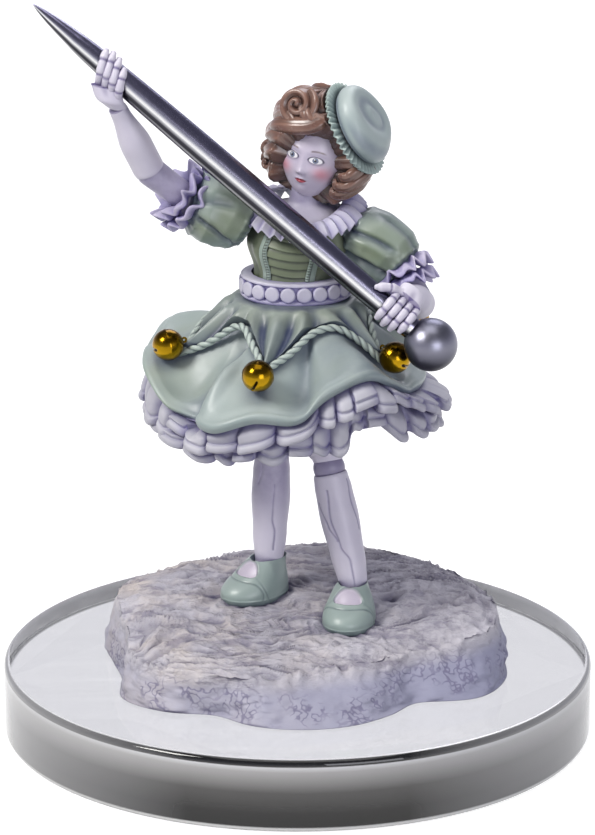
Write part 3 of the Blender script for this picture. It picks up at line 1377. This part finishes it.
def bodice():
    def rule(u, v):
        angle = TURN * u
        if v < BODICE_END_ROWS:
            return torso_point(bodice_width(0) * v / BODICE_END_ROWS, angle, WAIST_LEVEL), 0.5
        if v > 1 - BODICE_END_ROWS:
            inward = (1 - v) / BODICE_END_ROWS
            height = mix(NECKLINE - NECKLINE_TILT, neckline_at(angle), inward)
            return torso_point(bodice_width(1) * inward, angle, height), 0.6
        share = (v - BODICE_END_ROWS) / (1 - 2 * BODICE_END_ROWS)
        rise, depth = bodice_fold(angle, share)
        height = mix(WAIST_LEVEL, neckline_at(angle), share)
        return torso_point(bodice_width(share) + rise, angle, height), depth

    piece("bodice_cloth", skin(300, 150, rule), BODICE, ["bodice"])


def bodice_trim(side):
    """A pale strap with a ticked braid along the edge that faces the pleats."""
    middle = TRIM_ANGLES[side]
    inner = 1 if side == "right" else -1

    def rule(u, v):
        about = TURN * u
        share = mix(0.3, 0.97, v)
        height = mix(WAIST_LEVEL, neckline_at(middle), share)
        tick = abs(math.sin(math.pi * height / 0.12))
        across = math.sin(about)
        out = math.cos(about)
        braid = hump(across - 0.62 * inner, 0.3)
        width = 0.2 + 0.02 * tick * braid
        lift = 0.07 * (out + 1) + 0.06 * braid * tick * clamp(out + 0.2)
        angle = middle + across * width / bodice_width(share)
        end = ease(0, 0.02, v) * ease(1, 0.98, v)
        radius = bodice_width(share) + 0.02 + lift * end
        groove = hump(across - 0.25 * inner, 0.1) + braid * (1 - tick) * 1.2
        return torso_point(radius, angle, height), clamp(groove * 0.9)

    piece(side + "_braid", skin(64, 180, rule), TRIM_PAINT, [side + "_bodice_trim"])


BELT_BEADS = 21
BEAD_PROFILE = [(0, -0.06), (0.28, -0.06), (0.325, 0), (0.322, 0.1), (0.295, 0.145), (0.2, 0.15), (0, 0.15)]


def belt():
    """A band with a narrow roll above, a wide one below and a row of touching flat beads between."""
    middle = torso_middle(WAIST_LEVEL + BELT_HEIGHT / 2)

    def level(share, angle):
        return WAIST_LEVEL + GAP + share * BELT_HEIGHT - BELT_ROLL * math.cos(angle)

    profile = [(0.02, 0), (0.34, 0.0), (0.46, 0.07), (0.47, 0.17), (0.38, 0.25), (0.33, 0.3), (0.32, 0.5),
               (0.33, 0.76), (0.36, 0.8), (0.45, 0.84), (0.46, 0.91), (0.38, 0.97), (0.02, 1.0)]
    path = curve_through([(out, share, 0) for out, share in profile])

    def rule(u, v):
        angle = TURN * u
        point, _ = path(v)
        spot = polar(Vector(), WAIST_WIDTH + GAP + point.x, angle, 0)
        spot.y *= TORSO_DEPTH
        spot.z = level(point.y, angle)
        groove = hump(point.y - 0.27, 0.05) + hump(point.y - 0.785, 0.04)
        return spot + middle, clamp(groove)

    forms = [skin(240, 60, rule)]
    for i in range(BELT_BEADS):
        angle = TURN * (i + 0.5) / BELT_BEADS
        outward = Vector((math.sin(angle), -math.cos(angle) / TORSO_DEPTH, 0))
        matrix = basis_along(outward, UP)
        centre = polar(Vector(), WAIST_WIDTH + GAP + 0.37, angle, 0)
        centre.y *= TORSO_DEPTH
        centre.z = level(0.5, angle)
        matrix.translation = centre + middle
        forms.append(framed(turned(BEAD_PROFILE, 28, 14), matrix))
    piece("beaded_belt", gathered(forms), LACE, ["belt"])


def chest():
    """The neck and the skin above the neckline, with the collarbones faintly raised."""
    rim = bodice_width(1) * 0.96
    head_level = NECKLINE + 0.95

    def rule(u, v):
        angle = TURN * u
        rows = [(0, NECKLINE - NECKLINE_TILT), (rim, neckline_at(angle, 0.96)),
                (rim * 0.93, mix(neckline_at(angle, 0.8), head_level, 0.22)),
                (rim * 0.6, mix(neckline_at(angle, 0.4), head_level, 0.48)),
                (0.7, mix(NECKLINE, head_level, 0.7)), (0.62, head_level), (0.62, head_level + 0.6),
                (0, head_level + 0.62)]
        radius, height, _ = curve_of_values([Vector((r, h, 0)) for r, h in rows])(v)
        bone_level = mix(neckline_at(angle, 0.7), head_level, 0.3)
        bone = hump(height - bone_level, 0.1) * hump(abs(angle_from(angle, 0)) - 0.55, 0.4)
        return torso_point(max(radius, 0) + 0.03 * bone, angle, height), 0.3 + 0.35 * ease(0.5, 0.7, v)

    piece("chest_skin", skin(120, 70, rule), PORCELAIN, ["chest_and_neck"])


def collar():
    inner = bodice_width(1) * 0.86
    centre = torso_middle(NECKLINE)

    def level(angle, share):
        rise = NECKLINE_TILT * 0.75 * math.sin(angle) ** 2
        arch = 0.16 * math.sin(math.pi * share)
        return neckline_at(angle) + mix(0.5, 0.02, share) + rise + arch

    form = frill(inner, inner + 1.0, thickness=0.15, count=34, swing=0.12, scallop=0.05, level=level,
                 sides=1020, rows=24, drift=0.25)
    squash = Matrix.Diagonal((1, mix(TORSO_DEPTH, 1, 0.2), 1, 1))
    squash.translation = centre
    piece("pleated_collar", framed(form, squash), LACE, ["collar"])


bodice()
for trim_side in SIDES:
    bodice_trim(trim_side)
belt()
chest()
collar()

# Arms. Creases of a sleeve: its angle at the shoulder and at the cuff, half width, depth, and the shares
# of the sleeve's length where it starts and ends
SLEEVE_CREASES = {
    "right": [
        (0.75, 0.2, 0.13, 0.2, 0.1, 1.0),
        (-0.6, -0.25, 0.18, 0.1, 0.4, 1.0),
        (1.6, 1.3, 0.2, 0.1, 0.2, 0.9),
    ],
    "left": [
        (-0.85, -0.35, 0.22, 0.34, 0.0, 1.0),
        (0.1, 0.5, 0.15, 0.16, 0.0, 0.8),
        (1.1, 1.2, 0.2, 0.09, 0.3, 1.0),
    ],
}


def sleeve(side):
    """A puff sleeve, creased along its length and gathered at both ends."""
    def relief(angle, share):
        rise, depth = 0, 0
        for start_angle, end_angle, width, deep, start, end in SLEEVE_CREASES[side]:
            away = angle_from(angle, mix(start_angle, end_angle, share))
            reach = ease(start - 0.12, start + 0.15, share) * ease(end + 0.05, end - 0.2, share)
            valley = hump(away, width if away < 0 else width * 0.5)
            rise += deep * reach * (0.5 * hump(away + width * 1.9, width) - valley)
            depth = max(depth, valley * reach * min(deep * 7, 1))
        gather = math.cos(17 * angle + 3 * math.sin(2 * angle))
        hem = ease(0.82, 1.0, share) + ease(0.2, 0.02, share)
        rise += 0.035 * gather * hem
        return rise, clamp(0.8 * depth + 0.35 * clamp(-gather) * hem + 0.3 * hem)

    shoulder, end = place(side + "Shoulder"), place(side + "SleeveEnd")
    bulge = shoulder.lerp(end, 0.5)
    bulge.z += (end - shoulder).length * 0.06
    size = PUFF[side]
    sections = [(share, size * part) for share, part in
                ((0, 0.7), (0.14, 0.92), (0.4, 1.02), (0.7, 1.04), (0.9, 0.92), (1, 0.7))]
    form = limb([shoulder, bulge, end], sections, sides=190, rows=140, relief=relief, round_ends=0.12)
    piece(side + "_puff_sleeve", form, SLEEVE_PAINT, [side + "_sleeve"])


def arm_direction(side):
    """The way the arm leaves its sleeve."""
    return (place(side + "Elbow") - place(side + "SleeveEnd")).normalized()


def cuff_level(angle, reach):
    return 0.34 * reach - 0.1


def cuffs(side):
    """Two pleated frills at the end of a sleeve."""
    direction = arm_direction(side)
    for layer, name in enumerate(("upper", "lower")):
        matrix = basis_along(direction, FORWARD)
        matrix.translation = place(side + "SleeveEnd") + direction * CUFF_STEP * (layer - 0.2)
        size = CUFF[side] * (0.94 if layer else 1)
        form = frill(0.66, size, thickness=0.3, count=9 + layer, swing=0.22, scallop=0.03,
                     level=cuff_level, sides=560, rows=30, drift=0.3, sharp=0.6)
        piece(f"{side}_{name}_cuff_frill", framed(form, matrix), CUFF_PAINT,
              [f"{side}_{name}_cuff"])


def arm(side):
    sleeve(side)
    cuffs(side)
    start = place(side + "SleeveEnd") - arm_direction(side) * CUFF_STEP / 2
    elbow, wrist = place(side + "Elbow"), place(side + "Wrist")
    sections = [(0, 0.56), (0.5, 0.59), (1, UPPER_ARM)]

    def stub_shade(angle, share):
        return 0, 0.3 + 0.4 * share

    def joint_shade(angle, share):
        return 0, 0.8 * hump(share, 0.015) + 0.8 * ease(0.985, 1, share)

    stub = limb([start, elbow], sections, sides=72, rows=40, relief=stub_shade)
    piece(side + "_arm_stub", stub, PORCELAIN, [side + "_upper_arm"])
    sections = [(0, ELBOW * 0.95), (0.05, ELBOW), (0.4, ELBOW), (0.94, WRIST), (1, WRIST * 0.94)]
    fore = limb([elbow, wrist], sections, sides=96, rows=90, relief=joint_shade, round_ends=0.12)
    piece(side + "_lower_arm", fore, PORCELAIN, [side + "_forearm"])


for arm_side in SIDES:
    arm(arm_side)


# Hat pin, in a frame at the right hand: Z runs towards the knob, X up across it and Y to the front
PIN_AXIS = (place("leftGrip") - place("rightGrip")).normalized()
GRIP_SPAN = (place("leftGrip") - place("rightGrip")).length
PIN_END = GRIP_SPAN + PIN_KNOB - KNOB_RADIUS * 0.8
PIN_PROFILE_SHARES = [
    (0, 0.03), (0.016, 0.2), (0.042, 0.37), (0.07, 0.5), (0.1, 0.61), (0.125, 0.7), (0.17, 0.79),
    (0.26, 0.9), (0.4, 0.98), (0.55, 1), (0.8, 0.93), (1, 0.75),
]


def pin_matrix():
    """The pin's frame."""
    x = -PIN_AXIS.cross(Vector((0, 1, 0))).normalized()
    if x.z < 0:
        x = -x
    matrix = Matrix((x, PIN_AXIS.cross(x), PIN_AXIS)).transposed().to_4x4()
    matrix.translation = place("rightGrip")
    return matrix


def pin_radius(z):
    """Radius of the pin's shaft at a place along it."""
    share = clamp((z + PIN_POINT) / (PIN_END + PIN_POINT))
    for (low, a), (high, b) in zip(PIN_PROFILE_SHARES, PIN_PROFILE_SHARES[1:]):
        if share <= high:
            return PIN_RADIUS * mix(a, b, (share - low) / (high - low))
    return PIN_RADIUS * PIN_PROFILE_SHARES[-1][1]


def hat_pin():
    rows = [(PIN_RADIUS * size, mix(-PIN_POINT, PIN_END, share)) for share, size in PIN_PROFILE_SHARES]
    shaft = turned([(0, -PIN_POINT), *rows, (0, PIN_END)], 96, 320)
    piece("pin_rod", framed(shaft, pin_matrix()), STEEL, ["pin_shaft"])

    def ball(u, v):
        point = polar(Vector(), math.sin(math.pi * v), TURN * u, math.cos(math.pi * v))
        return point * KNOB_RADIUS * 1.03 + Vector((0, 0, GRIP_SPAN + PIN_KNOB - 0.1)), 0

    piece("pin_ball", framed(skin(96, 64, ball), pin_matrix()), KNOB, ["pin_knob"])


hat_pin()


def joints_of(places):
    """Grooves across a finger where its parts meet."""
    def relief(angle, share):
        line = max(hump(share - spot, 0.035) for spot in places)
        swell = 0.012 * math.cos(TURN * share * 2.5)
        return swell - 0.03 * line, clamp(line)

    return relief


def finger(along_pin, start, end, lean, joints):
    """A finger curled round the pin from one angle to another, with its joints as shares of its length."""
    path = []
    for i in range(5):
        about = mix(start, end, i / 4)
        reach = pin_radius(along_pin) + GAP + FINGER
        x = reach * math.sin(about)
        path.append(Vector((x, reach * math.cos(about), along_pin - lean * x)))
    sections = [(0, FINGER * 0.9), (0.1, FINGER), (0.5, FINGER * 1.02), (0.9, FINGER * 0.9),
                (1, FINGER * 0.75)]
    return limb(path, sections, sides=32, rows=70, across=UP, relief=joints_of(joints), round_ends=0.8)


def hand(side, fingers, palm, thumb):
    """A hand in the pin's frame: a palm from the wrist to the knuckles, the fingers and the thumb."""
    wrist = pin_matrix().inverted() @ place(side + "Wrist")
    middle = wrist.lerp(palm["knuckles"], 0.5) + palm["arch"]
    row = palm["row"].normalized()
    facing = palm["facing"].normalized()
    rings = [
        (wrist, row * WRIST, facing * WRIST * 0.85),
        (wrist.lerp(middle, 0.5), row * mix(WRIST, PALM_WIDTH, 0.42), facing * PALM_THICKNESS * 1.15),
        (middle, row * PALM_WIDTH * 0.88, facing * PALM_THICKNESS),
        (palm["knuckles"], row * PALM_WIDTH, facing * PALM_THICKNESS * 0.85),
    ]

    def knuckles(angle, share):
        ridge = math.cos(4 * math.pi * (math.sin(angle) * 0.5 + 0.5) * 0.98) * ease(0.72, 0.95, share)
        ends = 0.7 * ease(0.97, 1.0, share) + 0.8 * ease(0.03, 0.0, share)
        return -0.06 * ridge, clamp(0.5 * ridge) + ends

    forms = [lofted(rings, 72, 60, knuckles)]
    forms += [finger(*spec) for spec in fingers]
    thumb_sections = [(0, FINGER), (0.5, FINGER * 1.15), (0.85, FINGER), (1, FINGER * 0.7)]
    forms.append(limb(thumb, thumb_sections, sides=32, rows=50, across=UP, relief=joints_of([0.5]),
                      round_ends=0.8))
    form = framed(gathered(forms), pin_matrix())
    piece(side + "_jointed_hand", form, PORCELAIN, [side + "_hand"])


def right_hand():
    """The raised hand, round the pin near its point. A finger has its place in widths and its end angle."""
    fingers = [(width * FINGER * 2, math.radians(-62), math.radians(end), 0.5, (0.36, 0.72))
               for width, end in [(-0.72, 56), (0.2, 68), (1.14, 63), (2.1, 42)]]
    palm = {
        "knuckles": Vector((-PIN_RADIUS * 0.9, PIN_RADIUS * 0.8, FINGER * 2)),
        "arch": Vector((-FINGER / 2, FINGER, 0)),
        "row": Vector((0.5, 0, 0.87)),
        "facing": Vector((-0.25, 0.97, 0)),
    }
    thumb = [(-PIN_RADIUS * 1.5, -FINGER, FINGER * 3), (-PIN_RADIUS * 1.1, -PIN_RADIUS, FINGER),
             (PIN_RADIUS * 0.1, -PIN_RADIUS * 1.25, -FINGER * 2)]
    hand("right", fingers, palm, thumb)


def left_hand():
    """The lower hand, round the pin near its knob."""
    fingers = [(GRIP_SPAN + width * FINGER * 2, math.radians(84), math.radians(end), 0, (0.3, 0.66))
               for width, end in [(-1.2, -42), (-0.22, -52), (0.76, -46), (1.74, -24)]]
    palm = {
        "knuckles": Vector((PIN_RADIUS * 1.3, PIN_RADIUS * 0.3, GRIP_SPAN + FINGER * 0.6)),
        "arch": Vector((FINGER * 1.5, 0, 0)),
        "row": Vector((0, 0, 1)),
        "facing": Vector((0.9, 0.4, 0)),
    }
    thumb = [(PIN_RADIUS * 1.5, PIN_RADIUS * 0.1, GRIP_SPAN - FINGER * 1.6),
             (PIN_RADIUS * 1.3, PIN_RADIUS * 0.5, GRIP_SPAN - FINGER * 4.4),
             (PIN_RADIUS * 0.8, PIN_RADIUS * 0.95, GRIP_SPAN - FINGER * 7)]
    hand("left", fingers, palm, thumb)


right_hand()
left_hand()

# Head, in its own frame: the face looks along -Y
HEAD_MATRIX = Matrix.Rotation(math.radians(12), 4, "Y") @ Matrix.Rotation(math.radians(-22), 4, "Z")
HEAD_MATRIX.translation = place("head")
EYE_X, EYE_Z = 0.52, 0.02
EYE_WIDTH, EYE_HEIGHT = 0.27, 0.15
BROW_Z, NOSE_Z, MOUTH_Z = 0.36, -0.62, -0.95
LIP_WIDTH = 0.26


def head_surface(direction):
    """The plain head: a soft egg that narrows to the chin."""
    jaw = ease(0, 1, -direction.z)
    return Vector((direction.x * HEAD_WIDTH * (1 - 0.2 * jaw * jaw),
                   direction.y * HEAD_DEPTH * (1 - 0.1 * jaw),
                   direction.z * HEAD_HEIGHT))


def oval(x, z):
    """Fades outwards from 1 in the middle of an oval, where x and z are 0."""
    return hump(math.hypot(x, z), 1)


def face_relief(x, z):
    """How far a calm, even doll's face stands out at a place seen from the front."""
    side = abs(x)
    eye = math.hypot((side - EYE_X) / EYE_WIDTH, (z - EYE_Z) / EYE_HEIGHT)
    socket = -0.07 * hump(eye, 1.9)
    eyeball = 0.055 * hump(eye, 0.95)
    lid = 0.022 * hump(eye - 1.08, 0.16)
    brow = 0.04 * hump(z - BROW_Z + 0.25 * (side - 0.5) ** 2, 0.12) * hump(side - 0.5, 0.4)
    bridge = 0.09 * hump(x, 0.13) * ease(0.3, -0.5, z) * ease(NOSE_Z - 0.12, NOSE_Z + 0.06, z)
    tip = 0.12 * oval(x / 0.15, (z - NOSE_Z - 0.07) / 0.13)
    wings = 0.04 * oval((side - 0.13) / 0.08, (z - NOSE_Z - 0.03) / 0.08)
    upper = 0.05 * hump(x, 0.2) * hump(z - MOUTH_Z - 0.07, 0.06)
    lower = 0.06 * hump(x, 0.16) * hump(z - MOUTH_Z + 0.085, 0.07)
    line = -0.03 * hump(x, 0.24) * hump(z - MOUTH_Z, 0.03)
    cheek = 0.05 * oval((side - 0.75) / 0.4, (z + 0.5) / 0.4)
    chin = 0.08 * oval(x / 0.3, (z + 1.45) / 0.22)
    return socket + eyeball + lid + brow + bridge + tip + wings + upper + lower + line + cheek + chin


def laid_over(under, code, share):
    """A colour painted over what is there already."""
    share = clamp(share)
    alpha = share + under[3] * (1 - share)
    if alpha <= 0:
        return under
    keep = under[3] * (1 - share)
    return tuple((new * share + old * keep) / alpha for new, old in zip(srgb(code), under[:3])) + (alpha,)


def face_paint(x, z):
    """The painted face: blush, brows, lips and even open eyes."""
    side = abs(x)
    blush = oval((side - 0.82) / 0.36, (z + 0.5) / 0.34) ** 1.3
    colour = laid_over(UNPAINTED, "d98593", 0.75 * blush)
    eye_shade = oval((side - EYE_X) / 0.42, (z - EYE_Z - 0.02) / 0.27)
    colour = laid_over(colour, "7f7798", 0.5 * eye_shade)
    arc = z - BROW_Z - 0.05 + 0.55 * (side - 0.55) ** 2
    brow = hump(arc, 0.035) * ease(0.24, 0.34, side) * ease(0.92, 0.74, side)
    colour = laid_over(colour, "5a4038", 0.85 * brow)
    bow = 0.085 * (1 - (side / LIP_WIDTH) ** 1.6) - 0.03 * hump(x, 0.06)
    bottom = -0.12 * (1 - (side / LIP_WIDTH) ** 2)
    lips = ease(0.015, -0.015, z - MOUTH_Z - bow) * ease(-0.015, 0.015, z - MOUTH_Z - bottom)
    colour = laid_over(colour, "a8303f", 0.95 * lips * (side < LIP_WIDTH))
    parting = hump(z - MOUTH_Z, 0.018) * ease(LIP_WIDTH + 0.02, LIP_WIDTH - 0.05, side)
    colour = laid_over(colour, "5c1826", 0.9 * parting)
    nostril = oval((side - 0.07) / 0.03, (z - NOSE_Z + 0.045) / 0.02)
    colour = laid_over(colour, "6d6480", 0.6 * nostril)
    dx, dz = side - EYE_X, z - EYE_Z
    tall = EYE_HEIGHT if dz > 0 else EYE_HEIGHT * 0.8
    eye = math.hypot(dx / EYE_WIDTH, dz / tall)
    colour = laid_over(colour, "3a3350", ease(1.32, 1.14, eye) * (0.95 if dz > -0.02 else 0.6))
    colour = laid_over(colour, "f3f1f6", ease(1.02, 0.92, eye))
    iris = math.hypot(x - math.copysign(EYE_X, x), dz - 0.01)
    inside = ease(1.0, 0.92, eye)
    colour = laid_over(colour, "46506a", inside * ease(0.125, 0.11, iris))
    colour = laid_over(colour, "8490ad", inside * ease(0.1, 0.08, iris) * 0.7)
    colour = laid_over(colour, "17141f", inside * ease(0.062, 0.05, iris))
    glint = math.hypot(x - math.copysign(EYE_X, x) + 0.04, dz - 0.05)
    return laid_over(colour, "ffffff", inside * ease(0.03, 0.02, glint))


def head():
    """The head, with the rows and columns of its mesh drawn together at the face."""
    def rule(u, v):
        angle = TURN * u - 0.7 * math.sin(TURN * u)
        fall = math.pi * (v + 0.09 * math.sin(TURN * v))
        direction = polar(Vector(), math.sin(fall), angle, math.cos(fall))
        point = head_surface(direction)
        front = ease(0.15, 0.5, -direction.y)
        if front <= 0:
            return point, 0.2
        point.y -= face_relief(point.x, point.z) * front * HEAD_DEPTH * 0.72
        red, green, blue, alpha = face_paint(point.x, point.z)
        return point, 0.05, (red, green, blue, alpha * front)

    piece("doll_head", framed(skin(300, 220, rule), HEAD_MATRIX), FACE_PAINT, ["head"])


BERET_AXIS = Vector((0.768, -0.037, 0.639))
BERET_MATRIX = basis_along(BERET_AXIS, FORWARD)
BERET_MATRIX.translation = Vector((HEAD_WIDTH * 1.08, HEAD_DEPTH * 0.08, HEAD_HEIGHT * 0.84))
HAIR = 0.67
# How far below the beret's own base the hair under it stays
HAIR_UNDER_BERET = -0.36


def hair_cap():
    """Hair in stacked waves round the head, open over the face and flat under the beret."""
    to_beret = BERET_MATRIX.inverted()
    opening = Vector((HEAD_WIDTH * 0.22, -HEAD_DEPTH * 1.2, -HEAD_HEIGHT * 0.38))
    opening_size = Vector((HEAD_WIDTH * 1.3, HEAD_DEPTH * 1.5, HEAD_HEIGHT * 1.32))

    def rule(u, v):
        angle = TURN * u
        fall = math.pi * v
        direction = polar(Vector(), math.sin(fall), angle, math.cos(fall))
        sway = 0.13 * math.sin(2 * angle + 0.6) + 0.06 * math.sin(5 * angle + 1)
        row = (direction.z + sway) * 2.9 + 0.35
        t = row - math.floor(row)
        puff = math.sin(math.pi * t ** 0.85) ** 0.6
        break_up = noise.noise(direction * 2.2 + Vector((0, 0, 5)))
        fine = math.cos(TURN * (2 * t + 0.6 * math.sin(4 * angle)))
        full = HAIR * (0.95 + 0.42 * (puff - 0.5) + 0.04 * fine + 0.14 * break_up)
        swell = 1 + 0.2 * ease(0.2, 0.9, direction.z)
        point = Vector((direction.x * (HEAD_WIDTH + full * 1.15) * swell,
                        direction.y * (HEAD_DEPTH + full) * swell + HAIR * 0.3,
                        direction.z * (HEAD_HEIGHT + full) + HAIR * 0.35))
        depth = clamp((1 - puff) * 0.9 + clamp(-fine) * 0.25)
        from_middle = point - opening
        from_middle.z -= from_middle.x / opening_size.x * HEAD_HEIGHT * 0.2
        away = Vector((a / b for a, b in zip(from_middle, opening_size))).length
        if point.y < 0:
            keep = ease(0.95, 1.03, away)
            point = (head_surface(direction) * 0.93).lerp(point, keep)
            depth = max(depth, 0.9 * (1 - keep))
        under = 1 - (point.x / (HEAD_WIDTH * 2.4)) ** 2 - (point.y / (HEAD_DEPTH * 2.4)) ** 2
        floor = HEAD_HEIGHT * (math.sqrt(max(under, 0)) - 1.95)
        floor += 0.45 * ease(0, -HEAD_WIDTH, point.x)
        if point.z < floor:
            point.z = floor + 0.05 * math.sin(9 * angle) - 0.02
            depth = 0.9
        local = to_beret @ point
        if local.z > HAIR_UNDER_BERET and math.hypot(local.x, local.y) < BERET_RADIUS * 1.25:
            local.z = HAIR_UNDER_BERET
            point = BERET_MATRIX @ local
        return point, depth

    return skin(310, 236, rule)


# Locks at the left of the face, as shares of the head's width, depth and height
LEFT_LOCKS = [
    [(1.6, -0.1, 0.08), (1.54, -0.5, -0.02), (1.33, -0.62, -0.18), (1.08, -0.66, -0.18)],
    [(1.82, 0.1, 0.04), (1.66, -0.35, -0.18), (1.38, -0.55, -0.4), (1.1, -0.62, -0.43),
     (0.98, -0.62, -0.32)],
    [(1.7, 0.2, -0.2), (1.5, -0.2, -0.44), (1.22, -0.42, -0.62), (1.0, -0.5, -0.64), (0.92, -0.52, -0.54)],
]


# Curls at the right of the face: place in the same shares, size and the angle each starts from
RIGHT_CURLS = [
    ((-1.22, -0.42, 0.2), 0.9, 0.3),
    ((-1.3, -0.36, -0.12), 0.95, 1.7),
    ((-1.28, -0.3, -0.44), 1.0, 0.9),
]


def head_share(x, y, z):
    """A place given as shares of the head's width, depth and height."""
    return Vector((x * HEAD_WIDTH, y * HEAD_DEPTH, z * HEAD_HEIGHT))


def hair():
    """The cap of waves, a curl and a sweep over the forehead, and the curls and locks beside the face."""
    piece("hair_waves", framed(hair_cap(), HEAD_MATRIX), HAIR_PAINT, ["hair_cap"])
    roll = coil(head_share(-0.53, -1.06, 1.16), Vector((-0.1, -1, 0.25)), size=0.78, winds=2.1, strand=0.23,
                turn=0.5)
    piece("hair_spiral", framed(roll, HEAD_MATRIX), HAIR_PAINT, ["front_curl"])
    sweep = [(-1.3, -0.4, 0.42), (-0.85, -0.95, 0.6), (0.05, -1.12, 0.8), (0.55, -0.85, 1.1)]
    sections = [(share, 0.42 * size) for share, size in
                ((0, 0.4), (0.25, 0.85), (0.5, 0.95), (0.8, 0.85), (1, 0.4))]
    sweep = [head_share(*spot) for spot in sweep]
    wave = limb(sweep, sections, sides=60, rows=150, relief=strands(3, 0.03))
    piece("hair_sweep", framed(wave, HEAD_MATRIX), HAIR_PAINT, ["forehead_wave"])
    rolls = []
    for spot, size, turn in RIGHT_CURLS:
        centre = head_share(*spot) + FORWARD * 0.12
        rolls.append(coil(centre, Vector((-0.5, -1, 0.1)), size=0.34 * size, winds=1.35, strand=0.17 * size,
                          turn=turn, sides=24, rows=150))
    curls = framed(gathered(rolls), HEAD_MATRIX)
    piece("right_hair_curls", curls, HAIR_PAINT, ["right_curls"])
    locks = []
    sections = [(share, 0.27 * size) for share, size in
                ((0, 0.5), (0.3, 0.95), (0.6, 1), (0.85, 0.8), (1, 0.3))]
    for lock in LEFT_LOCKS:
        line = [head_share(*spot) for spot in lock]
        locks.append(limb(line, sections, sides=40, rows=110, relief=strands(3, 0.025)))
    piece("left_hair_locks", framed(gathered(locks), HEAD_MATRIX), HAIR_PAINT, ["left_curls"])


def beret():
    """A soft beret with one loose ring on top, over its pleated frill."""
    to_head = HEAD_MATRIX @ BERET_MATRIX
    profile = [(0, 0), (0.84, 0.0), (0.97, 0.14), (1.0, 0.32), (0.98, 0.55), (0.9, 0.76), (0.74, 0.9),
               (0.5, 0.97), (0, 1.0)]
    path = curve_through([(r, h, 0) for r, h in profile])

    def rule(u, v):
        angle = TURN * u
        point, _ = path(v)
        reach, rise = max(point.x, 0), point.y
        slump = 1 + (0.11 * math.cos(angle - 2.7) + 0.04 * math.cos(3 * angle)) * rise
        upper = ease(0.3, 0.6, rise)
        ripple = reach * 1.5 + 0.16 * math.cos(angle + 1) + 0.14 * math.sin(2 * angle)
        ring = math.cos(TURN * ripple) * upper * ease(0.1, 0.35, reach)
        side = math.cos(5 * angle + 2 * math.sin(angle)) * (1 - upper) * rise
        height = BERET_RISE * rise + 0.055 * ring
        radius = BERET_RADIUS * reach * slump * (1 + 0.012 * side)
        return polar(Vector(), radius, angle, height), clamp(-ring * 0.5) + 0.15 * clamp(-side)

    piece("beret_cloth", framed(skin(240, 130, rule), to_head), BERET_PAINT, ["beret_crown"])
    inner = BERET_RADIUS * 0.78
    trim = frill(inner, inner + FRILL_WIDTH, thickness=0.18, count=46, swing=0.07, scallop=0.04,
                 level=lambda angle, reach: -0.14, sides=1100, rows=24, drift=0.15)
    piece("beret_pleats", framed(trim, to_head), FRILL_PAINT, ["beret_frill"])


head()
hair()
beret()
